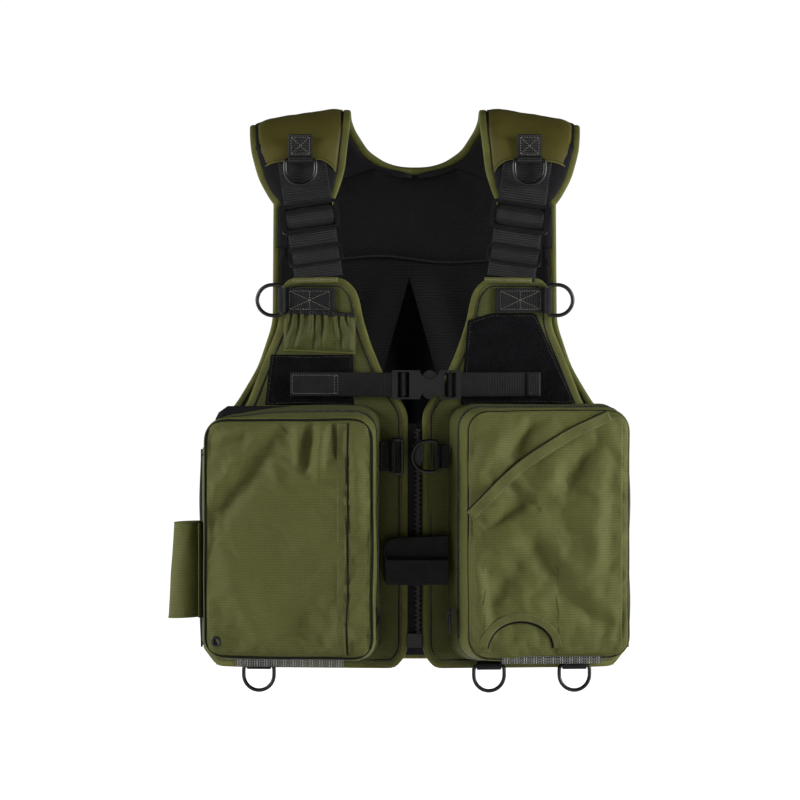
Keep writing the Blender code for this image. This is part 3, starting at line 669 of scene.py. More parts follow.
def simulate(made, frames, cap, free=None, **settings):
    """Runs the mesh as cloth under pressure and leaves it where it comes to rest.

    cap is the furthest that a point moves, in millimetres, and free(points) says how freely each
    one may, from 0 at a seam to 1.
    """
    others = list(made.modifiers)
    rest = vertices_of(made.data)
    cloth = made.modifiers.new("cloth", "CLOTH")
    cloth.settings.use_pressure = True
    cloth.settings.effector_weights.gravity = 0
    for key, value in settings.items():
        setattr(cloth.settings, key, value)
    for step in range(1, frames + 1):
        bpy.context.scene.frame_set(step)
    for other in others:
        other.show_viewport = False
    blown = evaluated_mesh(made)
    for other in others:
        other.show_viewport = True
    made.modifiers.remove(cloth)
    bpy.context.scene.frame_set(1)
    move = vertices_of(blown) - rest
    far = np.linalg.norm(move, axis=1, keepdims=True)
    share = np.minimum(1, cap * MM / np.maximum(far, 1e-9))
    move *= share * free(rest / MM)[:, None] if free else share
    made.data.vertices.foreach_set("co", (rest + move).ravel())
    bpy.data.meshes.remove(blown)
    made.data.update()


def puff(made, voxel, pressure, cap, free):
    """Sews the form as cloth and blows it up over its filling."""
    points, faces, uvs = taken_from(made)
    remesh = made.modifiers.new("remesh", "REMESH")
    remesh.mode = "VOXEL"
    remesh.voxel_size = voxel * MM
    data = evaluated_mesh(made)
    made.modifiers.clear()
    made.data = data
    lay_uvs(data, points, faces, uvs)
    simulate(made, 20, cap, free, quality=4, uniform_pressure_force=pressure,
             tension_stiffness=12, compression_stiffness=12)
    data.update()
    data.shade_smooth()


def settle_cloth(made, pinned, grow, pressure, cap):
    """Lets a sheet a little larger than its seam find its own folds; pinned is 1 at the seam."""
    held = made.vertex_groups.new(name="held")
    held.add(np.flatnonzero(pinned).tolist(), 1.0, "REPLACE")
    simulate(made, 18, cap, quality=5, vertex_group_mass="held", shrink_min=-grow,
             uniform_pressure_force=pressure, bending_stiffness=1.2)


NARROWEST_SHEET = 0.0105


def declare_sheet(rows):
    """Measures the unrolled width and length of a grid of points, and does nothing with them."""
    rows = np.asarray(rows, float) * MM
    width = max(cumulative(row)[-1] for row in rows)
    length = max(cumulative(column)[-1] for column in rows.transpose(1, 0, 2))
    if min(width, length) < NARROWEST_SHEET:
        return


def bumps(x, z, folds):
    """Height of soft folds."""
    lift = 0.0
    for x0, z0, x1, z1, half, height in folds:
        dx, dz = x1 - x0, z1 - z0
        near = min(1.0, max(0.0, ((x - x0) * dx + (z - z0) * dz) / (dx * dx + dz * dz)))
        away = math.hypot(x - x0 - near * dx, z - z0 - near * dz)
        along = math.sin(math.pi * (0.12 + 0.76 * near)) ** 0.6
        lift += height * math.exp(-((away / half) ** 2)) * along
    return lift


def rumple(x, z, size, height, seed=0.0):
    """Slow uneven waves of cloth that isn't quite flat."""
    return height * noise.fractal(Vector((x / size, z / size, seed)), 0.6, 2.0, 3)


def wander(*place):
    return noise.noise(Vector(place))


def roll(distance, reach):
    """How full a padded edge is, from 0 at its seam to 1 this far in."""
    share = min(1.0, max(0.0, float(distance) / reach))
    return 1 - (1 - share) ** 2.2


def padding(edge):
    """Half the thickness of the body this far in from its edge."""
    return 1.2 + 3.1 * roll(edge, 16)


# ---------------------------------------------------------------- surfaces of the frame


def front_y(x):
    out = abs(x)
    y = FRONT_Y + (out - EDGE_X) * math.tan(PANEL_TURN)
    if out > SIDE_TURN_X:
        share = (out - SIDE_TURN_X) / (SIDE_X - SIDE_TURN_X + 2)
        y += 56.0 * (1 - math.sqrt(1 - share * share))
    return y


def back_y(x, z):
    out = abs(x)
    y = BACK_Y - 8.0 * (min(out, 120.0) / 120.0) ** 2
    if out > 120.0:
        share = (out - 120.0) / 110.0
        y -= 0.133 * (out - 120.0) + 66.0 * (1 - math.sqrt(1 - share * share))
    if z > LEAN_Z:
        y -= 45.0 * ((z - LEAN_Z) / LEAN_Z) ** 2
    return y


def front_axes(side):
    """Along the front, away from the centre line, and out of it."""
    along = np.array((side * math.cos(PANEL_TURN), math.sin(PANEL_TURN), 0))
    out = np.array((side * math.sin(PANEL_TURN), -math.cos(PANEL_TURN), 0))
    return along, out


def front_plane(side, u, n, z):
    """A point given along the turned front (u), out from it (n) and up."""
    x = EDGE_X + u * math.cos(PANEL_TURN) + n * math.sin(PANEL_TURN)
    y = FRONT_Y + u * math.sin(PANEL_TURN) - n * math.cos(PANEL_TURN)
    return np.array((side * x, y, z))


def to_u(x):
    return (x - EDGE_X) / math.cos(PANEL_TURN)


def front_out(side, x):
    """Direction out of a front at this distance from the centre line."""
    rise = (front_y(x + 0.5) - front_y(x - 0.5)) if x < SIDE_X - 1 else 3.0
    return unit(np.array((side * rise, -1.0, 0.0)))


def front_point(side, x, z, n):
    return np.array((side * x, front_y(x), z)) + front_out(side, x) * n


def drop(x, z):
    """How far the shoulder line has dropped at x; it fades out down the front and the back."""
    return 0.16 * max(0.0, abs(x) - NECK_X) * min(1.0, max(0.0, (z + 60.0) / 60.0))


def back_out(x, z):
    dx = back_y(x + 0.5, z) - back_y(x - 0.5, z) if abs(x) < SIDE_X - 1 else -3.0 * np.sign(x)
    dz = back_y(x, z + 0.5) - back_y(x, z - 0.5)
    return unit(np.array((-dx, 1.0, -dz)))


def back_point(x, z, n):
    """A point of the back at this depth behind (negative) or outside its outer surface."""
    return np.array((x, back_y(x, z), z - drop(x, z))) + back_out(x, z) * n


def front_edges(z):
    return soft(FRONT_INNER, z, 7), soft(FRONT_OUTER, z, 7)


def back_edges(z):
    """Ends of a row of the back; the inner one is the centre line up to the neck."""
    return soft(BACK_INNER, z + 2.0, 2.5) if z > -53.0 else 0.0, soft(BACK_OUTER, z, 9)


def strap_y(z):
    return -ARCH_DEPTH - (ARCH_Z - z) * STRAP_TILT


def shoulder_line(step=3.0):
    """(y, z) points over the shoulder from high on the back to the pad's front end, with normals."""
    line = [(back_y(110, z), z) for z in np.arange(-150.0, -16.0, 9.0)]
    for angle in np.radians(np.linspace(-44, 90, 12)):
        line.append((-ARCH_DEPTH * math.sin(angle), ARCH_Z + ARCH_RISE * math.cos(angle)))
    line = curved(line + [(strap_y(z), z) for z in (-45.0, -60.0, -75.0, PAD_END_Z)], step)
    run = unit(np.gradient(line, axis=0))
    return line, np.column_stack([run[:, 1], -run[:, 0]])


LINE, LINE_OUT = shoulder_line()
CREST = int(np.argmax(LINE[:, 1]))
ARCH_START = int(np.argmax(LINE[:, 1] > -2.0))
SEAM = int(np.argmax(LINE[:, 1] > -95.0))
LAST = len(LINE) - 1


def over_shoulder(side, at, x, lift):
    """A point by its place along the shoulder line, its distance from the centre and its lift."""
    y, z = LINE[at]
    if at < ARCH_START:
        fade = (ARCH_START - at) / ARCH_START
        y += (back_y(x, z) - back_y(110, z)) * min(1.0, 3 * fade)
    out = LINE_OUT[at]
    return np.array((side * x, y + out[0] * lift, z + out[1] * lift - drop(x, z)))


def shoulder_edges(at):
    """Distances of the inner and the outer edge from the centre line."""
    z = LINE[at, 1]
    if at < CREST:
        return soft(BACK_INNER, z, 3), soft(BACK_OUTER, z, 8)
    return soft(PAD_INNER, z, 6), soft(PAD_OUTER, z, 4)


def shoulder_out(y, z):
    """Direction out of the shoulder's surface at its nearest place."""
    return np.array((0.0, *LINE_OUT[int(np.argmin(np.hypot(LINE[:, 0] - y, LINE[:, 1] - z)))]))


# ---------------------------------------------------------------- body of the vest


def bind(name, path, outs, side, width=9.0, thick=5.6, over=1.4):
    """Folded tape over an edge; side says on which hand of the path the outside lies."""
    profile = oval(width, thick, 14, across=-side * (width / 2 - over), power=0.7)
    sweep(name, path, outs, profile, "binding")


def beside(path, outs, across):
    """The line this far to one hand of a path."""
    return path + unit(np.cross(unit(np.gradient(path, axis=0)), outs)) * across


def seam_beside(name, path, outs, side, inset=7.4, thread_inset=5.6, lift=2.4):
    """The dark piping at the inner edge of a binding, and the stitching along the binding."""
    path, outs = np.asarray(path, float), np.asarray(outs, float)
    piping = beside(path, outs, -side * inset) + outs * (lift - 1.9)
    sweep(f"{name}_piping", piping, outs, oval(1.2, 1.5, 8), "piping")
    line = beside(path, outs, -side * thread_inset) + outs * (lift - 2.1)
    stitches(f"{name}_binding_stitches", [(line, outs)], "dark_thread", long=2.1)


def make_front(side, word):
    """Padded front: nylon over foam, closed round its edge, with its lining inside."""
    s = np.linspace(0, 1, 46)
    s = 0.75 * s + 0.25 * (0.5 - 0.5 * np.cos(np.pi * s))
    rows = []
    for z in np.linspace(HEM_Z, FRONT_TOP_Z, 104):
        inner, outer = front_edges(z)
        row = []
        for x in inner + s * (outer - inner):
            edge = min(x - inner, outer - x, z - HEM_Z, FRONT_TOP_Z - z)
            half = padding(edge)
            lift = bumps(side * x, z, FRONT_FOLDS[side]) + rumple(x, z, 60, 0.8, side)
            depths = (half - CORE + lift * roll(edge, 20), -half - CORE, -half - 5.0)
            flat = (side * (x + 0.6 * (front_y(x) - FRONT_Y)), z)
            row.append((*(front_point(side, x, z, depth) for depth in depths), flat))
        rows.append(row)
    top, bottom, lining, uv = split(rows)
    shell = [f"{word}_front_shell", f"{word}_front_foam"]
    body = cushion(f"{word}_front", top, bottom, "olive", uv=uv, stands_for=shell)
    inside = skin(f"{word}_front_lining", lining, "lining", 0.5, uv=uv)
    declare_sheet(lining)
    edge = [(front_edges(z)[1], z) for z in np.linspace(ARMHOLE_Z, FRONT_TOP_Z, 44)]
    edge += [(front_edges(z)[0], z) for z in np.linspace(FRONT_TOP_Z, HEM_Z, 80)]
    edge += [(x, HEM_Z) for x in np.linspace(30, front_edges(HEM_Z)[1], 40)]
    edge += [(front_edges(z)[1], z) for z in np.linspace(-568, -553, 5)]
    edge = ease(even(edge, 3.5), 3)
    outs = [front_out(side, min(x, SIDE_X - 3)) for x, z in edge]
    bind(f"{word}_front_binding", [front_point(side, x, z, -CORE) for x, z in edge], outs, side)
    seam_beside(f"{word}_front", [front_point(side, x, z, -1.0) for x, z in edge], outs, side)


def make_back():
    """Padded back in two mirrored halves."""
    rows, open_rows = [], 0
    for z in np.concatenate([np.linspace(HEM_Z, -60, 96), np.linspace(-56, -4, 22)]):
        inner, outer = back_edges(z)
        if inner == 0.0:
            open_rows = len(rows)
        row = []
        for x in inner + np.linspace(0, 1, 34) * (outer - inner):
            edge = min(outer - x, z - HEM_Z, x - inner if inner else 200)
            half = padding(edge)
            lift = rumple(x, z, 75, 1.4, 4.0) + bumps(x, z, BACK_FOLDS)
            lift *= roll(min(edge, x + 20), 20)
            row.append((back_point(x, z, half - CORE + lift), back_point(x, z, -half - CORE), (x, z)))
        rows.append(row)
    top, bottom, uv = split(rows)
    shell = ["back_shell", "back_foam"]
    body = cushion("back", top, bottom, "olive", uv=uv, open_rows=open_rows, stands_for=shell)
    other_half(body)
    return body


PLEAT_X, PLEAT_TOP_Z, PLEAT_OPEN = -6.0, -166.0, 0.29


def make_back_linings(body):
    """A plain lining over the whole inside, and two ribbed mesh flaps that part in a V below."""
    rows = []
    for z in np.concatenate([np.linspace(HEM_Z + 3, -60, 60), np.linspace(-57, -8, 20)]):
        inner, outer = back_edges(z)
        rows.append([back_point(x, z, -9.2) for x in np.linspace(inner and inner + 2, outer - 3, 24)])
    core = skin("back_lining", rows, "lining", 0.5, stands_for=["back_lining"])
    other_half(core)
    declare_sheet([mirrored(row[::-1]) + row[1:] for row in rows])
    for side, word in SIDES:
        flap = []
        for z in np.linspace(HEM_Z + 6, -146.0, 110):
            near = PLEAT_X + side * min(max(0.0, (PLEAT_TOP_Z - z) * PLEAT_OPEN), 34.0)
            far = side * (back_edges(z)[1] - 4)
            grown = roll(-150.0 - z, 45)
            row = []
            for x in near + np.linspace(0, 1, 60) ** 1.5 * (far - near):
                away = abs(x - near)
                crest = 17.0 * math.exp(-((away / 26) ** 2)) + 4.0 * math.exp(-(((away - 62) / 15) ** 2))
                sag = 1.2 * math.sin(away / 11.0 + z / 60.0) * math.exp(-away / 60)
                row.append(back_point(x, z, -10.4 - grown * (crest + sag)))
            flap.append(row)
        made = skin(f"{word}_back_mesh_flap", flap, "ribbed", 0.9)
        declare_sheet(flap)


def make_upper_pad():
    """Air-mesh pad across the shoulder blades, fuller in the middle, sewn at its lower edge."""
    half_wide = 137
    rows = []
    for share in np.linspace(0, 1, 40):
        row = []
        for x in np.linspace(-half_wide, half_wide, 86):
            low = -149.0 - 4.0 * (x / half_wide) - 2.5 * math.sin(x / 21)
            corner = float(np.interp(abs(x), [0, 44, 76, half_wide], [0, 0, -13, -34]))
            high = soft(NECK_DIP, min(abs(x), 44), 4) - 6.5 + corner
            z = low + share * (high - low)
            full = roll(min(z - low, high - z, half_wide - abs(x)), 17)
            thick = 6.4 * float(np.interp(abs(x), [0, 62, 100, half_wide], [1, 1, 0.35, 0.2]))
            half = 0.5 + thick / 2 * full + rumple(x, z, 45, 0.35, 9.0) * full
            row.append((back_point(x, z, -10.2 - 2 * half), back_point(x, z, -10.2), (x, z)))
        rows.append(row)
    top, bottom, uv = split(rows)
    pad = cushion("upper_back_pad", top, bottom, "mesh", uv=uv, stands_for=["upper_back_pad"])
    sweep("upper_back_seam", top[1], (0, -1, 0), oval(3.2, 1.8, 8), "piping")


def make_side_panels():
    """Ribbed stretch panels between the fronts and the back."""
    y0, y1 = front_y(SIDE_X) - 1.0, back_y(SIDE_X, ARMHOLE_Z) + 1.0
    for side, word in SIDES:
        rows = []
        for z in np.linspace(-553, ARMHOLE_Z - 1, 60):
            row = []
            for y in np.linspace(y0, y1, 14):
                bulge = 1.6 * math.sin(math.pi * (y - y0) / (y1 - y0)) * (1 + 0.5 * math.sin(z / 17))
                row.append((side * (SIDE_X - 3.4 + bulge), y, z))
            rows.append(row)
        made = skin(f"{word}_side_panel", rows, "ribbed", 1.4, stands_for=[f"{word}_side_panel"])
        declare_sheet(rows)


def whole_line(half, middle, step):
    """A line over the centre from its one half, with its corners rounded off."""
    return ease(even(half + [back_point(0, middle, -CORE)] + mirrored(half[::-1]), step), 3)


def make_edges():
    """Bindings of the neck, of the armholes at the back, and of the hem."""
    ats = list(range(LAST, ARCH_START, -1))
    half = [over_shoulder(1, at, shoulder_edges(at)[0], -4.5) for at in ats]
    wing = [(soft(BACK_INNER, z, 3), z) for z in np.arange(-10.0, -37.0, -3.0)]
    wing += [(x, soft(NECK_DIP, x, 4) - 1.0) for x in (36.0, 30.0, 24.0, 18.0, 12.0, 6.0)]
    path = whole_line(half + [back_point(x, z, -CORE) for x, z in wing], -51.8, 3.5)
    outs = [shoulder_out(y, z) if z > -12 or y < 0 else back_out(x, z) for x, y, z in path]
    outs = unit(ease(outs, 3))
    bind("neck_binding", path, outs, -1, 8.5, 6.4, over=4.0)
    seam_beside("neck", path, outs, -1, 5.4, 3.4, 4.6)
    for side, word in SIDES:
        outer = [over_shoulder(side, at, shoulder_edges(at)[1], -4.5) for at in ats]
        for z in np.arange(-14.0, ARMHOLE_Z, -4.0):
            outer.append(back_point(side * min(back_edges(z)[1], SIDE_X - 8.0), z, -CORE))
        y0, y1 = front_y(SIDE_X - 3) + 5, back_y(SIDE_X - 3, ARMHOLE_Z) - 5
        outer += [np.array((side * (SIDE_X - 9.0), y, ARMHOLE_Z)) for y in np.linspace(y1, y0, 7)]
        path = ease(even(outer, 3.5), 3)
        outs = [
            shoulder_out(y, z) if z > -14 or (y < 0 and z > -100) else back_out(np.clip(x, -224, 224), z)
            for x, y, z in path
        ]
        outs = unit(ease(outs, 6))
        bind(f"{word}_armhole_binding", path, outs, side, 9.5, 6.4, over=2.8)
        front = path[: int(len(ats) * 0.95)]
        seam_beside(f"{word}_armhole", front, outs[: len(front)], side, 7.4, 4.8, 4.6)
    y0, y1 = front_y(SIDE_X) + 3, back_y(SIDE_X, HEM_Z) - 6
    half = [np.array((SIDE_X - 9.0, y, -552.0)) for y in np.linspace(y0, y1, 6)]
    half += [back_point(back_edges(z)[1], z, -CORE) for z in (-553, -558, -563, -567)]
    half += [back_point(x, HEM_Z, -CORE) for x in np.arange(196, 0, -8)]
    path = whole_line(half, HEM_Z, 4)
    outs = unit([back_out(float(np.clip(x, -222, 222)), z) for x, y, z in path])
    bind("hem_binding", path, outs, 1, 9, 6)


def make_shoulder(side, word):
    """A pad, its satin yoke and the lining under it."""
    top, bottom, middle = [], [], []
    for at in range(ARCH_START, LAST + 1):
        inner, outer = shoulder_edges(at)
        rows = [[], []]
        for x in np.linspace(inner + 0.5, outer - 0.5, 30):
            edge = min(x - inner, outer - x, 3.0 * (LAST - at) + 3, 3.0 * (at - ARCH_START) + 12)
            half = 1.6 + 2.4 * roll(edge, 15)
            rows[0].append(over_shoulder(side, at, x, half - 4.8))
            rows[1].append(over_shoulder(side, at, x, -half - 4.6))
        top.append(rows[0])
        bottom.append(rows[1])
        middle.append(np.mean(rows[0], axis=0))
    name = f"{word}_shoulder_pad"
    pad = cushion(name, top, bottom, "lining", stands_for=[name])
    heart = np.array(middle)

    def free(points):
        away = np.linalg.norm(points[:, None, 1:] - heart[None, :, 1:], axis=-1)
        return np.clip((34 - np.min(away, axis=1)) / 30, 0, 1)

    puff(pad, 3.0, 3.0, 2.6, free)
    make_yoke(side, word)
    rows = []
    for at in range(SEAM - 14, LAST + 1):
        inner, outer = shoulder_edges(at)
        rows.append([over_shoulder(side, at, x, -10.6) for x in np.linspace(inner + 3, outer - 3, 20)])
    under = skin(f"{word}_shoulder_lining", rows, "lining", 0.6)
    declare_sheet(rows)


def yoke_point(side, s, at):
    """A point of the yoke by its share across and its place along the shoulder line."""
    inner, outer = shoulder_edges(at)
    x = inner + 5.0 + s * (outer - inner - 11.4)
    y, z = LINE[at]
    over_strap = math.exp(-(((x - 118) / 30) ** 6)) if at > CREST else 0.0
    full = roll(min(x - inner - 5.0, outer - x - 6.4), 15)
    lift = -1.5 + 3.4 * full + 1.6 * over_strap * float(np.interp(z, [-34, -14], [1, 0]))
    lift += rumple(x, y * 1.3 + z, 30, 0.7, side) * roll(min(s, 1 - s) * 90, 14)
    return over_shoulder(side, at, x, lift)


def make_yoke(side, word):
    """Satin panel from the seam on the back over the pad, with a hollowed front edge."""
    rows = []
    front_end = int(np.argmin(np.abs(LINE[CREST:, 1] + 38.0))) + CREST
    for share in np.linspace(0, 1, 64):
        row = []
        for s in np.linspace(0, 1, 34):
            reach = 2.2 * (2 * s - 1) ** 4 + 2.6 * max(0.0, 1 - s * 4) ** 1.5
            at = SEAM + share * (front_end + reach - SEAM)
            low = int(at)
            part = at - low
            next_one = yoke_point(side, s, min(low + 1, LAST))
            row.append(yoke_point(side, s, low) * (1 - part) + next_one * part)
        rows.append(row)
    yoke = skin(f"{word}_yoke", rows, "yoke", 0.9)
    declare_sheet(rows)
    sweep(f"{word}_yoke_hem", rows[-1], (0, -1, 0), oval(1.6, 1.8, 8), "binding")
    outs = np.array([back_out(x, z) for x, y, z in rows[0]])
    sweep(f"{word}_yoke_seam", rows[0], outs, oval(1.6, 1.4, 8), "piping")
    line = np.array(rows[2]) + outs * 0.7
    stitches(f"{word}_yoke_stitches", [(line, outs)], pitch=3.4, long=2.5, wide=0.85)


# ---------------------------------------------------------------- webbing, rings and straps


def frame_at(origin, x_axis, y_axis):
    """A local frame: its origin and the rows of its x, y and z axes."""
    x = unit(x_axis)
    z = unit(np.cross(x, y_axis))
    return np.array(origin, float), np.array((x, np.cross(z, x), z))


def put(local, points):
    origin, axes = local
    return origin + np.asarray(points, float) @ axes


def strap_frame(side):
    """Frame of a shoulder strap: x out of it, y up along it and z across it."""
    low, high = (
        np.array((side * x, strap_y(z) - 0.4, z)) for x, z in ((100.5, -161.5), (117.5, -46.0))
    )
    up = unit(high - low)
    across = unit(np.cross((0, -1, 0), up))
    return low, np.array((np.cross(up, across), up, across))


def keep(node, look, bevel=0.8, segments=3):
    """Shows a hard piece of the frame as it is, with its edges rounded."""
    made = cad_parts[node]
    made.data.materials.clear()
    made.data.materials.append(LOOKS[look])
    rounding = made.modifiers.new("rounded edges", "BEVEL")
    rounding.width = bevel * MM
    rounding.segments = segments
    rounding.limit_method = "ANGLE"
    rounding.angle_limit = math.radians(38)
    rounding.harden_normals = True


def web(name, local, line, width, ribs=(2.7, 0.1), **riding):
    """Webbing along a line of (x, y) points in a local frame, its width along z."""
    points = even([(*p, 0.0) for p in line], 0.9)
    run = unit(np.gradient(points, axis=0))
    outs = unit(np.cross(run, (0, 0, 1))) @ local[1]
    return sweep(name, put(local, points), outs, flat_web(width, 1.5), "webbing", ribs=ribs, **riding)


def looped_tab(node, local, length, width):
    """Doubled webbing that goes round a bar on the frame's z axis and back along its x axis."""
    arc = [(3.35 * math.cos(a), 3.35 * math.sin(a)) for a in np.radians(np.linspace(-33.5, 270, 24))]
    line = [(length, -1.85), (2.79, -1.85)] + arc + [(length, -3.35)]
    web(node + "_webbing", local, line, width, stands_for=[node])


def box_stitches(name, local, x0, x1, half, look="light_thread", y=-1.02, cross=False):
    """A sewn rectangle, with or without a cross in it."""
    corners = [(x0, y, -half), (x1, y, -half), (x1, y, half), (x0, y, half)]
    pairs = [(0, 1), (1, 2), (2, 3), (3, 0)] + ([(0, 2), (1, 3)] if cross else [])
    runs = [(put(local, even((corners[a], corners[b]), 1.0)), local[1][1]) for a, b in pairs]
    stitches(name, runs, look, 2.6, 2.0, 0.75)


def smooth_ring(points, passes):
    points = np.array(points, float)
    for _ in range(passes):
        points = (np.roll(points, 1, axis=0) + 2 * points + np.roll(points, -1, axis=0)) / 4
    return points


def wire_ring(node, local, corners, passes=3):
    path = put(local, smooth_ring(even(corners + corners[:1], 1.3)[:-1], passes))
    sweep(node + "_wire", path, local[1][1], oval(4.0, 4.0, 16, power=1), "plastic", closed=True,
          body=node, stands_for=[node])


D_CORNERS = [(-3, 0, 16), (0, 0, 15), (0, 0, -15), (-3, 0, -16)]
D_CORNERS += [
    (-10 + 16 * math.cos(a), 0, 16 * math.sin(a)) for a in np.radians(np.linspace(270, 90, 30))
]
LOOP_CORNERS = [(0, 0, 17.5), (0, 0, -17.5), (-9, 0, -17.5), (-9, 0, 17.5)]
# Name, side and place along the front
BOTTOM_RINGS = (
    ("right_bottom", -1, 153.5), ("left_inner_bottom", 1, 67.0), ("left_outer_bottom", 1, 157.0),
)


def make_rings():
    lean = math.atan(STRAP_TILT)
    for side, word in SIDES:
        shoulder = frame_at((side * 119.5, -71, -42), (0, math.sin(lean), math.cos(lean)), (0, -1, 0))
        looped_tab(f"{word}_shoulder_ring_tab", shoulder, 27, 25)
        box_stitches(f"{word}_shoulder_ring_stitches", shoulder, 6, 24, 9.5, cross=True)
        wire_ring(f"{word}_shoulder_ring", shoulder, D_CORNERS)
        along, out = front_axes(side)
        chest = frame_at(front_plane(side, to_u(138), 4.5, -188), -along, out)
        looped_tab(f"{word}_anchor_tab", chest, 55, 26)
        box_stitches(f"{word}_anchor_stitches", chest, 8, 50, 9.5, cross=True)
        box_stitches(f"{word}_anchor_inner_stitches", chest, 29, 50, 9.5)
        wire_ring(f"{word}_chest_ring", chest, D_CORNERS)
    for node, side, u in BOTTOM_RINGS:
        bottom = frame_at(front_plane(side, u, 9, -568.5), (0, 0, 1), front_axes(side)[1])
        looped_tab(f"{node}_ring_tab", bottom, 6.8, 25)
        wire_ring(f"{node}_ring", bottom, D_CORNERS)
    centre = frame_at((23, RINGS_Y, RINGS_Z), (1, 0, 0), (0, -1, 0))
    looped_tab("centre_ring_tab", centre, 12, 25)
    wire_ring("centre_ring", centre, D_CORNERS)
    centre = frame_at((-22.5, RINGS_Y, RINGS_Z), (-1, 0, 0), (0, -1, 0))
    looped_tab("centre_loop_tab", centre, 14, 31)
    box_stitches("centre_loop_stitches", centre, 6, 12.5, 13, "dark_thread")
    wire_ring("centre_loop", centre, LOOP_CORNERS, passes=2)


# Webbing round the bars of the adjuster and of the keeper, as (out, up) from the bar's middle
ADJUSTER_WRAP = [
    (1.9, 10.2), (3.0, 8.2), (5.6, 4.6), (6.25, 2.4), (6.4, 0), (6.25, -2.4), (5.6, -4.6),
    (3.0, -8.2), (1.9, -10.2),
]
KEEPER_WRAP = [(2.5, 9.8), (4.6, 6.6), (6.3, 3.2), (6.6, 0), (6.3, -3.2), (4.6, -6.6), (2.5, -9.8)]
ADJUSTER_UP, KEEPER_UP = 61.0, 20.5
STRAP_RIBS = (3.1, 0.14)


def gathers(name, local, line):
    """A layer of the strap from a held end to a buckle, fixed where it lies and riding on no body."""
    made = web(name, local, line, WIDE - 1.3, ribs=STRAP_RIBS, body=None)
    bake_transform(made)


def make_shoulder_straps():
    for side, word in SIDES:
        local = strap_frame(side)
        adjuster, keeper = f"{word}_strap_adjuster", f"{word}_strap_keeper"
        base = [(0.95, up) for up in (-4.5, 20, 60, 100, 132)]
        web(f"{word}_shoulder_strap_webbing", local, base, WIDE, ribs=STRAP_RIBS,
            stands_for=[f"{word}_shoulder_strap"])
        layers = (
            ("end", [(2.4, -4.0), (2.6, 8), (2.5, KEEPER_UP - 9.2)], keeper),
            ("return_low", [(2.6, 34.3), (2.5, KEEPER_UP + 9.2)], keeper),
            ("return_high", [(2.6, 34.1), (2.7, 39.5), (2.4, ADJUSTER_UP - 14.5)], adjuster),
        )
        for part, line, moving in layers:
            gathers(f"{word}_strap_{part}", local, line)
        wraps = (
            ("adjuster", ADJUSTER_WRAP, ADJUSTER_UP, (2.5, 0.16)),
            ("keeper", KEEPER_WRAP, KEEPER_UP, (2.2, 0.2)),
        )
        for part, wrap, middle, ribs in wraps:
            line = curved([(out, middle + up) for out, up in wrap], 0.9)
            web(f"{word}_{part}_wrap", local, line, WIDE - 1.0, ribs=ribs, body=f"{word}_strap_{part}")
        keep(adjuster, "plastic", 1.3, 4)
        keep(keeper, "plastic", 1.2, 4)
        x0, x1 = (80, 127) if side < 0 else (72, 121)
        out = front_out(side, 100)
        path = np.array([
            front_point(side, x, FRONT_TOP_Z - 0.6 - 0.02 * (x - x0), 2.4) for x in np.linspace(x0, x1, 20)
        ])
        sweep(f"{word}_strap_band", path, out, oval(5.4, 2.6, 12), "binding")
        line = path + out * 1.5
        stitches(f"{word}_strap_band_stitches", [(line, out)], "light_thread", 2.6, 2.1, 1.5)


def make_chest_straps():
    for side, word, bar_x, end in ((-1, "right", 12.0, 129.0), (1, "left", 36.5, 128.0)):
        bar = np.array((side * bar_x, BUCKLE_Y, STRAP_Z))
        target = front_plane(side, to_u(end), 6.9, STRAP_Z)
        local = frame_at(bar, target - bar, (0, -1, 0))
        length = float(np.linalg.norm(target - bar))
        looped_tab(f"{word}_chest_strap", local, length, NARROW)
        name = f"{word}_chest_strap"
        if side < 0:
            box_stitches(f"{name}_stitches", local, length - 50, length - 2, 9.6)
            box_stitches(f"{name}_bar", local, length - 50, length - 46.5, 9.6)
        else:
            fold = [(-12, -0.5), (0.2, -0.5), (0.9, -1.6), (-0.5, -2.4)]
            line = curved([(length + along, out) for along, out in fold], 0.9)
            web(f"{name}_fold", local, line, NARROW - 0.6)
            box_stitches(f"{name}_stitches", local, length - 10, length - 3, 9.6, "dark_thread", y=0.3)
    for part, bevel in (("socket", 0.9), ("plug", 0.9), ("upper_prong", 0.6), ("lower_prong", 0.6)):
        keep(f"buckle_{part}", "plastic", bevel)


def make_waist_loop():
    """Band that's folded back at its one end, its hinder half sheared upwards."""
    right, left, fold = -29, 34.5, 3.6
    front, back = -108.1, -100.9
    line = [(left, front, -470.0), (right, front, -470.0)]
    line += [
        (right - fold * math.sin(a), (front + back) / 2 - fold * math.cos(a), -470 + 20 * (a / math.pi))
        for a in np.linspace(0.2, math.pi, 12)
    ]
    path = even(line + [(-20, back, -447.5), (left, back, -445.0)], 0.9)
    ups = np.linspace(-13.5, 13.5, 14)
    uv = [[(s, up) for s in cumulative(path)] for up in ups]
    rows = [path + (0, 0, up) for up in ups]
    skin("waist_loop_webbing", rows, "webbing", 1.7, uv=uv, stands_for=["waist_loop"])


# ---------------------------------------------------------------- patches and the chest pocket


# side: inner and outer ends of the pile patch as (height, distance from the centre line)
PATCHES = {
    -1: ([(-297, 64.5), (-245, 64.5)], [(-297, 156), (-245, 150)]),
    1: (
        [(-296, 48), (-209.5, 55), (-201.8, 80)],
        [(-296, 164), (-288.5, 163), (-203.5, 126), (-201.8, 122)],
    ),
}


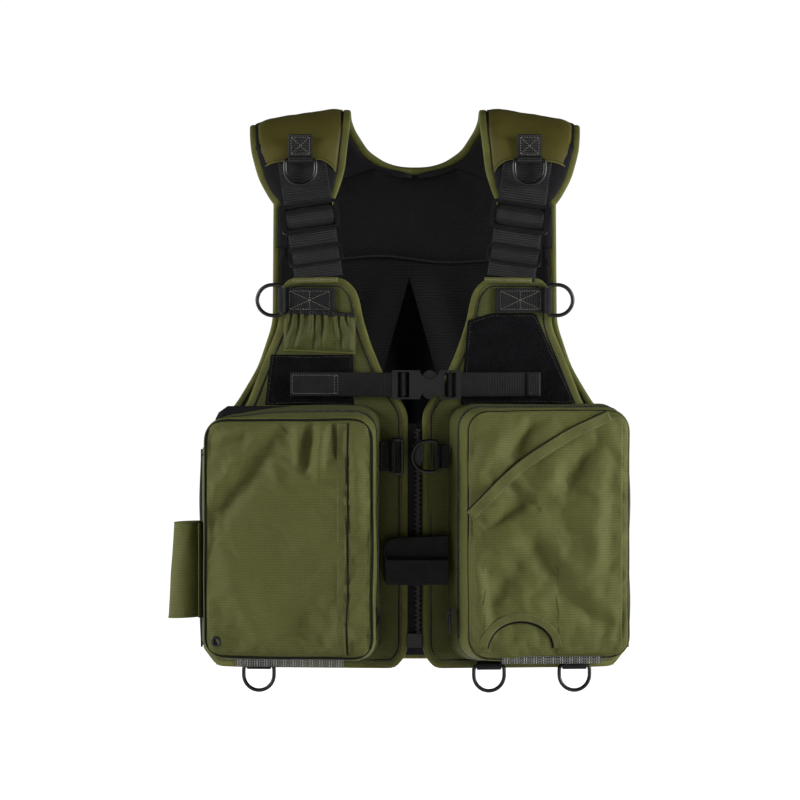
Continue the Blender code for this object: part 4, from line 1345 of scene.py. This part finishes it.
def make_loop_patch(side, word):
    inner, outer = PATCHES[side]
    low, high = inner[0][0], inner[-1][0]
    rows = []
    for z in np.linspace(low, high, int((high - low) / 1.3) + 2):
        x0, x1 = np.interp(z, *zip(*inner)), np.interp(z, *zip(*outer))
        row = []
        for x in np.linspace(x0, x1, 74):
            edge = min(x - x0, x1 - x, z - low, high - z)
            fuzz = 0.35 * wander(x * 0.55, z * 0.55, side) + rumple(x, z, 26, 0.25)
            lift = 0.5 + 1.5 * roll(edge, 2.6) + fuzz * min(1, edge / 2.6)
            row.append(front_plane(side, to_u(x), lift, z))
        rows.append(row)
    made = skin(f"{word}_patch", rows, "loop", 0.7, stands_for=[f"{word}_loop_patch"])
    declare_sheet(rows)
    rim = [rows[0], [row[-1] for row in rows], rows[-1][::-1], [row[0] for row in rows][::-1]]
    corners = np.concatenate(rim)
    out = front_axes(side)[1]
    line = corners + unit(corners.mean(axis=0) - corners) * 2.6 + out * 1.9
    stitches(f"{word}_patch_stitches", [(line, out)], "dark_thread")


def gather_wave(x):
    return math.cos(2 * math.pi * x / 8.3), math.cos(2 * math.pi * x / 4.9 + 1.0)


def make_chest_pocket():
    """Small pocket gathered on elastic along its mouth."""
    x0, x1, slope = 62.0, 136.5, 0.045
    rows = []
    for z in np.linspace(-243.0, -205.0, 70):
        down = min(1.0, max(0.0, (-207.5 - z) / 36.0))
        row = []
        for x in np.linspace(x0, x1, 170):
            edge = min(x - x0, x1 - x, z + 244.0)
            fan = 100.0 + (x - 100.0) * (1 - 0.22 * down) + 3.0 * wander(x / 11, z / 26, 3)
            coarse, fine = gather_wave(fan)
            deep = 1.8 * math.exp(-1.5 * down) * (0.75 + 0.8 * wander(x / 9, z / 30, 7))
            broad = 1.6 * math.exp(-((down - 0.6) / 0.3) ** 2) * math.cos(2 * math.pi * (x + 0.5 * z) / 26)
            swell = 0.8 + 5.6 * math.sin(math.pi * min(1.0, 0.08 + 0.84 * down)) ** 0.9
            n = 0.6 + (swell + (coarse + 0.5 * fine) * deep + broad) * roll(edge, 7)
            row.append(front_plane(-1, to_u(x), n, z + slope * (x - 62)))
        rows.append(row)
    made = skin("chest_pocket", rows, "olive", 0.8, stands_for=["gathered_chest_pocket"])
    declare_sheet(rows)
    path = []
    for x in np.linspace(62.5, 136.0, 110):
        coarse, fine = gather_wave(x)
        wave = 0.5 * coarse + 0.3 * fine
        path.append(front_plane(-1, to_u(x), 2.9 + wave, -203.6 + slope * (x - 62) + 0.3 * wave))
    out = front_axes(-1)[1]
    sweep("chest_pocket_elastic", path, out, oval(5.2, 2.2, 10), "webbing")
    foot = [front_plane(-1, to_u(x), 1.6, -243.0 + slope * (x - 62)) for x in np.linspace(62, x1, 40)]
    sweep("chest_pocket_foot", foot, out, oval(2.2, 1.8, 8), "binding")


# ---------------------------------------------------------------- front zip and tool sleeve


def make_front_zip():
    for side, word in SIDES:
        near, far = ZIP_X + side * 0.9, side * 10.6
        rows = []
        for z in np.linspace(-536.0, -316.0, 150):
            frayed = 0.6 * wander(0.8 * z, side, 0)
            row = []
            for x in np.linspace(near, far, 9):
                share = (x - near) / (far - near)
                row.append((x, -88.0 + 0.5 * frayed * share + 0.7 * math.sin(math.pi * share), z))
            rows.append(row)
        made = skin(f"{word}_zip_tape", rows, "zip_tape", 0.7, stands_for=[f"{word}_zip_stringer"])
        declare_sheet(rows)
        zs = np.arange(-533.0 + (0 if side > 0 else 2.5), -322.0, 5.0)
        blocks = (("teeth", 0.4, -88.6, (4.6, 2.8, 2.9)), ("feet", 2.6, -88.5, (2.0, 2.2, 2.0)))
        for part, away, y, sizes in blocks:
            places = [(ZIP_X + side * away, y, z) for z in zs]
            pebbles(f"{word}_zip_{part}", places, np.eye(3), sizes, "zip")
    keep("front_zip_slider", "zip", 0.7)
    keep("front_zip_pull", "zip", 0.35, 2)
    keep("zip_box", "zip", 0.8)


def make_tool_sleeve():
    """Tube of nylon at the wearer's right, narrower at its mouth, open at both ends."""
    rows = []
    for z in np.linspace(-519.0, -421.0, 46):
        radius = 16.4 - 2.9 * (z + 519.0) / 98.0
        middle = -224.0 - radius
        row = []
        for a in np.linspace(0, 2 * math.pi, 61)[:-1]:
            dent = 0.5 * wander(1.6 * math.cos(a), 1.6 * math.sin(a), z / 25)
            r = radius + dent + 0.5 * math.cos(2 * a)
            x = middle + r * math.cos(a)
            row.append((x, -45.0 + r * math.sin(a), z + 0.05 * (x + 240)))
        rows.append(row + [row[0]])
    # The tube takes the olive nylon painted lighter, as painted light
    made = skin("tool_sleeve_tube", rows, "olive_painted_lighter", 1.3, stands_for=["tool_sleeve"])
    declare_sheet(rows)
    for index, end in ((0, "foot"), (-1, "mouth")):
        sweep(f"tool_sleeve_{end}", rows[index][:-1], (0, 0, 1), oval(2.0, 2.4, 10), "binding", closed=True)

    def edge_y(x):
        return -61.5 + 0.16 * (x + 226.0) ** 2 / 6 - 0.02 * x

    def flange_y(x):
        return -60.0 + 1.2 * (x + 226.0)

    strips = (
        ("edge", "zip_tape", 1.6, edge_y, np.linspace(-226.5, -218.5, 7), np.linspace(-520.0, -420.0, 40)),
        ("flange", "olive", 1.5, flange_y, np.linspace(-226.0, -214.0, 6), np.linspace(-519.0, -421.0, 30)),
    )
    for part, look, thick, y_at, xs, zs in strips:
        rows = [[(x, y_at(x), z) for x in xs] for z in zs]
        made = skin(f"tool_sleeve_{part}", rows, look, thick)
        declare_sheet(rows)


# ---------------------------------------------------------------- pockets


# side: inner u at the back and at the face, outer u, height of the face's top
POCKET_OUTLINE = {-1: (28.0, 28.5, 202.0, -312.0), 1: (26.5, 40.5, 205.0, -303.0)}
POCKET_CORNER = 20.0
FACE_N = 53.0
# Trimmings as (distance from the centre line, height)
STRIP = [(76.0, -314.5), (76.0, -360), (75.6, -430), (76.2, -500), (76.0, -554.5)]
BAND = [(57.2, -410.3), (104.0, -363.5), (155.5, -329.1), (201.2, -307.3)]
ARCH_X = 108.7
# side: ends of the drain net along the front, its depth, and its lower and upper edge
NETS = {-1: (74.0, 187.5, 53.0, -567.0, -559.4), 1: (90.5, 195.5, 54.6, -564.0, -556.4)}


def pocket_ends(side, n):
    """Inner and outer u, low and high z of a pocket's outline at this depth."""
    inner_back, inner_face, outer, top = POCKET_OUTLINE[side]
    share = n / POCKET_DEPTH
    inner = inner_back + share * (inner_face - inner_back)
    return inner, outer, POCKET_END_Z + share * 4.0, POCKET_TOP_Z + share * (top - POCKET_TOP_Z)


def slack(side, u, z, n):
    """Small wandering of an edge that's only sewn cloth."""
    return 1.5 * wander(u / 55, z / 55, n / 45 + 3.7 * side)


def sag(side, u, z, n):
    """How far the top of the right pocket's depth sinks towards its outer corner."""
    if side > 0:
        return 0.0
    near_back, near_top = (48.0 - n) / 30.0, (z + 420.0) / 110.0
    share = min(1.0, max(0.0, near_back)) * min(1.0, max(0.0, near_top))
    return 10.0 * share * min(1.0, max(0.0, (u - 95.0) / 90.0)) ** 1.5


def pocket_loop(side, n, grow=0.0, count=300):
    """(u, z) points round a pocket at this depth, from the middle of its foot towards its outer side."""
    inner, outer, low, high = pocket_ends(side, n)
    r = POCKET_CORNER + grow
    inner, outer, low, high = inner - grow + r, outer + grow - r, low - grow + r, high + grow - r
    loop = [((inner + outer) / 2, low - r)]
    for cu, cz, start in ((outer, low, -90), (outer, high, 0), (inner, high, 90), (inner, low, 180)):
        turn = np.radians(np.linspace(start, start + 90, 12))
        loop += [(cu + r * math.cos(a), cz + r * math.sin(a)) for a in turn]
    loop = np.array(loop + loop[:1])
    run = cumulative(loop)
    at = np.linspace(0, run[-1], count + 1)
    loop = np.column_stack([np.interp(at, run, column) for column in loop.T])
    moved = [(slack(side, u, z, n), slack(side, z, u, n + 50) - sag(side, u, z, n)) for u, z in loop]
    return loop + np.array(moved)


def face_u(x):
    """Place along the front of a point of a lid's face that is this far from the centre line."""
    return to_u(x) - POCKET_DEPTH * math.tan(PANEL_TURN)


def face_x(u):
    return EDGE_X + u * math.cos(PANEL_TURN) + POCKET_DEPTH * math.sin(PANEL_TURN)


def corner_inset(away):
    """How far a rounded corner stands back at this distance from the end of its side."""
    r = POCKET_CORNER
    return r - math.sqrt(max(0.0, r * r - max(0.0, r - away) ** 2))


def make_wall(name, side, n0, n1, bulge, look, **riding):
    """Cloth round a pocket between two depths, and its grid of points."""
    rows = []
    for n in np.linspace(n0, n1, 13):
        full = math.sin(math.pi * (n - n0) / (n1 - n0))
        row = []
        for (u, z), (u2, z2) in zip(pocket_loop(side, n), pocket_loop(side, n, 1.0)):
            grow = (bulge + 1.2 * wander(u / 13, z / 13, n / 22 + side)) * full
            row.append(front_plane(side, u + (u2 - u) * grow, n, z + (z2 - z) * grow))
        rows.append(row)
    return skin(name, rows, look, 1.7, **riding), rows


def make_lid_face(side, word):
    """Outer panel of a lid: full along its middle, with the folds of the cloth."""
    inner, outer, low, high = pocket_ends(side, FACE_N)
    rows, pinned = [], []
    for z in np.linspace(low, high, 112):
        inset = corner_inset(min(z - low, high - z))
        row = []
        for u in np.linspace(inner + inset, outer - inset, 82):
            across, up = min(u - inner, outer - u), min(z - low, high - z)
            corner = math.hypot(min(across, 30) - 30, min(up, 30) - 30)
            edge = min(across, up, 30 - corner + 8)
            x = face_x(u)
            u1, z1 = u + slack(side, u, z, FACE_N), z + slack(side, z, u, FACE_N + 50)
            lift = 3.5 * bumps(side * x, z, LID_FOLDS[side]) + rumple(x, z, 46, 2.1, 2.0 * side)
            n = 52.6 + 2.6 * roll(edge, 20) + 1.4 * roll(edge, 70) + lift * roll(edge, 11)
            row.append(front_plane(side, u1, n, z1))
            pinned.append(edge < 2.4)
        rows.append(row)
    # The face takes the olive nylon painted lighter, as painted light
    made = skin(f"{word}_pocket_face", rows, "olive_painted_lighter", 1.6, body=f"{word}_pocket_lid",
                stands_for=[f"{word}_pocket_lid"])
    settle_cloth(made, pinned, 0.012, 0.6, 3.2)
    declare_sheet(rows)
    return made


class Lid:
    """The face of a lid, and trimmings that are laid over it."""

    def __init__(self, side, word):
        self.side, self.word, self.body = side, word, f"{word}_pocket_lid"
        self.out = front_axes(side)[1]
        # The lid's wall takes the olive nylon painted lighter, as painted light
        make_wall(f"{word}_lid_wall", side, 28.4, 52.0, 0.9, "olive_painted_lighter", body=self.body)
        points, faces, _ = taken_from(make_lid_face(side, word))
        self.tree = BVHTree.FromPolygons([Vector(p) for p in points], faces)

    def laid(self, x, z, lift):
        """The point this far above the face at x and z, in millimetres."""
        start = front_plane(self.side, face_u(x), 75.0, z)
        hit = self.tree.ray_cast(Vector(start * MM), Vector(-self.out))[0]
        depth = np.array(hit) / MM if hit else front_plane(self.side, face_u(x), 54.0, z)
        return depth + self.out * lift

    def sweep(self, part, path, profile, look, out=None, **riding):
        out = self.out if out is None else out
        sweep(f"{self.word}_lid_{part}", path, out, profile, look, body=self.body, **riding)

    def stitch(self, part, lines, *sizes):
        runs = [(line, self.out) for line in lines]
        stitches(f"{self.word}_lid_{part}_stitches", runs, *sizes, body=self.body)

    def trim(self, part, points, lift, profile, look, sewn=None):
        """A trimming along (x, z) points; sewn gives its seams as (half apart, lift, width)."""
        line = curved(points, 2.2)
        path = ease([self.laid(x, z, lift) for x, z in line], 4)
        self.sweep(part, path, profile, look)
        if sewn:
            apart, rise, wide = sewn
            lines = [beside(path, self.out, across) + self.out * rise for across in (-apart, apart)]
            self.stitch(part.replace("arch_band", "arch"), lines, "olive_thread", 3.0, 2.2, wide)

    def hem(self):
        """The piping and the binding round the face, and the stitching inside them."""
        edges = (
            ("piping", FACE_N, 52.6, 0.6, oval(2.2, 2.6, 12)),
            ("binding", 51.0, 49.8, 1.0, oval(3.6, 6.4, 14)),
        )
        for part, at, n, grow, profile in edges:
            path = [front_plane(self.side, u, n, z) for u, z in pocket_loop(self.side, at, grow)[:-1]]
            self.sweep(part, smooth_ring(path, 2), profile, part, closed=True)
        loop = pocket_loop(self.side, FACE_N, -4.2)[:-1]
        self.stitch("edge", [[self.laid(face_x(u), z, 0.9) for u, z in loop]], "dark_thread")


def make_right_details(lid):
    lid.trim("strip", STRIP, 0.9, flat_web(9.6, 1.3), "strip", (3.5, 0.75, 0.8))
    lid.trim("seam", [(x - 6.4, z) for x, z in STRIP], 1.1, oval(1.9, 1.9, 8), "piping")
    centre = lid.laid(206.0, -541.3, 0.9)
    along, up = front_axes(-1)[0], np.array((0, 0, 1.0))
    turn = np.linspace(0, 2 * math.pi, 33)[:-1]
    round_it = [centre + 4.2 * (math.cos(a) * along + math.sin(a) * up) for a in turn]
    lid.sweep("eyelet", round_it, oval(2.9, 2.2, 12, power=1), "eyelet", closed=True)
    hole = np.array((along, lid.out, up))
    middle = [centre - lid.out * 0.5]
    pebbles("right_lid_eyelet_hole", middle, hole, (6.4, 1.0, 6.4), "piping", body=lid.body)


def arch_line(half_wide, foot, rise, start):
    angles = np.linspace(start, math.pi - start, 15)
    return [(ARCH_X - half_wide * math.cos(a), foot + rise * math.sin(a)) for a in angles]


def make_slip_panel(lid):
    """Second layer of the left lid under its slanted band, cut out round the half-moon."""
    inner, outer, low, high = pocket_ends(1, FACE_N)
    rows = []
    for x in np.linspace(59.5, 214.5, 94):
        u = face_u(x)
        inset = corner_inset(min(u - inner, outer - u) - 1.0)
        share = min(1.0, abs(x - ARCH_X) / 39.0)
        arch = -545.5 + 30.5 * math.sqrt(1 - share * share) if share < 1 else -999.0
        foot, head = max(low + 2.5 + inset, arch), float(np.interp(x, *zip(*BAND)))
        if x > 170:
            head = min(head, high - 2.5 - inset)
        row = []
        for share in np.linspace(0, 1, 80):
            z = foot + share * (head - foot)
            loose = roll(min(x - 57, 216 - x, head - z), 18)
            row.append(lid.laid(x, z, 1.6 + 0.7 * share + rumple(x, z, 38, 1.0, 8) * loose))
        rows.append(row)
    uv = [[(p[0], p[2]) for p in row] for row in rows]
    # The slip panel takes the olive nylon painted lighter, as painted light
    panel = skin("left_lid_slip_panel", rows, "olive_painted_lighter", 0.9, uv=uv, body=lid.body)
    declare_sheet(rows)


def make_left_details(lid):
    make_slip_panel(lid)
    lid.trim("band", BAND, 3.5, flat_web(11.5, 2.2), "strip", (4.3, 1.2, 0.8))
    # Painted shadow: a dark piping strip along the band's upper edge, standing in for the shadow under the
    # raised band
    lid.trim("band_painted_shadow", [(x - 3.4, z + 4.4) for x, z in BAND], 0.8, oval(2.6, 2.0, 8), "piping")
    arch = arch_line(39.0, -548.5, 33.5, 0.03)
    lid.trim("arch_band", arch, 2.7, flat_web(8.5, 1.2), "strip", (3.2, 0.7, 0.75))
    # Painted shadow: a dark piping strip inside the half-moon band, standing in for the shade in its
    # opening
    lid.trim("arch_gap", arch_line(34.0, -549.0, 28.6, 0.05), 0.7, oval(2.4, 1.8, 8), "piping")
    tag = [front_plane(1, u, 46.0, z) for u, z in ((206.2, -455.0), (206.6, -461.0), (206.2, -467.0))]
    lid.sweep("label", tag, flat_web(7.0, 2.2), "olive", out=(1, 0, 0))


def make_pocket_zip(side, word):
    """Tapes and teeth along the opening, half on the tray and half on the lid."""
    along, out = front_axes(side)
    halves = (
        ("tray", 25.6, POCKET_SEAM - 0.05, "vest"),
        ("lid", 29.6, POCKET_SEAM + 0.65, f"{word}_pocket_lid"),
    )
    for part, n, teeth_n, rider in halves:
        loop = pocket_loop(side, n, 1.0, 420)
        run = cumulative(loop)
        open_part = (run > 105) & (run < run[-1] - 100)
        path = [front_plane(side, u, n, z) for u, z in loop[open_part]]
        flat = pocket_loop(side, n, 2.0, 420)[open_part] - loop[open_part]
        outs = unit(flat[:, :1] * along + flat[:, 1:] * np.array((0, 0, 1.0)))
        sweep(f"{word}_{part}_zip_tape", path, outs, flat_web(4.6, 0.8), "strip", body=rider)
        teeth, facing = even(np.array(path) + outs * 0.7, 3.0, outs)
        run = unit(np.gradient(teeth, axis=0))
        if part == "lid":
            teeth = (teeth[1:] + teeth[:-1]) / 2
            run, facing = run[:-1], facing[:-1]
        axes = np.array([(r, np.cross(f, r), f) for r, f in zip(run, facing)])
        teeth = teeth + out * (teeth_n - n)
        pebbles(f"{word}_{part}_zip_teeth", teeth, axes, (1.9, 2.2, 1.8), "zip", body=rider)
    keep(f"{word}_pocket_zip_slider", "zip", 0.6)
    keep(f"{word}_pocket_zip_pull", "zip", 0.35, 2)


def make_hinge(side, word):
    """The strip of cloth that the lid turns on."""
    rows = []
    for n in np.linspace(20.0, 35.0, 21):
        inner, outer, low, _ = pocket_ends(side, n)
        z = low - 1.3 - 0.7 * math.exp(-((n - POCKET_SEAM) / 2.5) ** 2)
        rows.append([front_plane(side, u, n, z) for u in np.linspace(inner + 17, outer - 17, 60)])
    uv = unrolled(rows[0], [row[0] for row in rows])
    made = skin(f"{word}_lid_hinge", rows, "olive", 1.2, uv=uv, body=None)
    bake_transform(made)
    declare_sheet(rows)


def make_net(side, word):
    """Drain netting along the foot of a lid."""
    x0, x1, n, low, high = NETS[side]
    rows = [
        [front_plane(side, face_u(x), n + 0.5 * math.sin(x / 9), z) for x in np.arange(x0, x1, 2.5)]
        for z in np.linspace(low, high, 4)
    ]
    made = skin(f"{word}_drain_net", rows, "net", 0, body=f"{word}_pocket_lid")
    made.modifiers.new("net", "WIREFRAME").thickness = 1.0 * MM
    declare_sheet(rows)


def make_pocket(side, word):
    stands_for = [f"{word}_pocket_back"]
    wall, rows = make_wall(f"{word}_tray_wall", side, 1.0, 27.0, 0.6, "olive", stands_for=stands_for)
    declare_sheet(rows)
    inner, outer, low, high = pocket_ends(side, 1.5)
    floor = []
    for z in np.linspace(low + 1, high - 1, 40):
        inset = corner_inset(min(z - low, high - z)) + 1
        us = np.linspace(inner + inset, outer - inset, 30)
        floor.append([front_plane(side, u, 2.4 + 0.5 * math.sin(z / 19), z) for u in us])
    made = skin(f"{word}_tray_floor", floor, "lining", 1.0)
    declare_sheet(floor)
    lid = Lid(side, word)
    lid.hem()
    (make_right_details if side < 0 else make_left_details)(lid)
    make_net(side, word)
    make_pocket_zip(side, word)
    make_hinge(side, word)


# ---------------------------------------------------------------- stage, light and camera


CAMERA_AWAY = 8.0
CAMERA_RISE = math.radians(1.5)
SENSOR = 36.0
FRAME_WIDE = 0.832
FRAME_CENTRE = (-0.0156, -0.090, -0.2917)
FLOOR_Z = -0.735
# Softboxes at either side, just in front of the vest: place, width and height, watts
SOFTBOXES = {
    "left_softbox": ((-2.5, -0.85, 0.55), (0.9, 1.3), 62),
    "right_softbox": ((2.55, -0.85, 0.2), (0.9, 1.5), 86),
}
LIGHT_TARGET = (0, -0.05, -0.3)


def make_floor():
    """A plain white floor whose glow hides its horizon."""
    turn = np.linspace(0, 2 * math.pi, 48, endpoint=False)
    rings = [(r * math.cos(a), r * math.sin(a), FLOOR_Z) for r in (0.01, 1, 3, 9, 20) for a in turn]
    faces, _ = quads(5, 48, wrap=True)
    data = bpy.data.meshes.new("studio_floor")
    data.from_pydata(rings, [], faces)
    data.shade_smooth()
    data.materials.append(floor_paint("studio_paint"))
    show("studio_floor", data)


def make_softbox(name, place, size, power):
    light = bpy.data.lights.new(name, "AREA")
    light.shape = "RECTANGLE"
    light.size, light.size_y = size
    light.energy = power
    made = show(name, light)
    made.location = place
    made.rotation_euler = (Vector(LIGHT_TARGET) - Vector(place)).to_track_quat("-Z", "Y").to_euler()


def make_world():
    """A white horizon below a dim sky, and dimmer all over in front of the vest."""
    world = bpy.data.worlds.new("studio")
    world.use_nodes = True
    nodes = Nodes(world.node_tree)
    way = nodes.add("ShaderNodeSeparateXYZ", {"Vector": nodes.coordinates("Generated")}).outputs
    up = nodes.spread(way["Z"], (-1.0, 1.0), (0.0, 1.0))
    sky = nodes.ramp(up, 1.0, 0.04, 0.545, 0.60)
    front = nodes.spread(way["Y"], (-0.9, -0.3), (0.2, 1.02), interpolation_type="SMOOTHSTEP")
    nodes.fill(nodes.tree.nodes["Background"], {"Color": sky, "Strength": front})
    bpy.context.scene.world = world


def make_camera():
    camera = bpy.data.cameras.new("camera")
    camera.sensor_width = SENSOR
    camera.lens = SENSOR * CAMERA_AWAY / FRAME_WIDE
    camera.clip_end = 100.0
    made = show("camera", camera)
    away = Vector((0, -math.cos(CAMERA_RISE), math.sin(CAMERA_RISE))) * CAMERA_AWAY
    made.location = Vector(FRAME_CENTRE) + away
    made.rotation_euler = (-away).to_track_quat("-Z", "Y").to_euler()
    bpy.context.scene.camera = made
    bpy.context.scene.view_settings.view_transform = "Standard"


for side, word in SIDES:
    make_front(side, word)
make_back_linings(make_back())
make_upper_pad()
make_side_panels()
make_edges()
for side, word in SIDES:
    make_shoulder(side, word)
make_rings()
make_shoulder_straps()
make_chest_straps()
make_waist_loop()
for side, word in SIDES:
    make_loop_patch(side, word)
make_chest_pocket()
make_front_zip()
make_tool_sleeve()
for side, word in SIDES:
    make_pocket(side, word)
make_floor()
make_world()
for name, settings in SOFTBOXES.items():
    make_softbox(name, *settings)
make_camera()
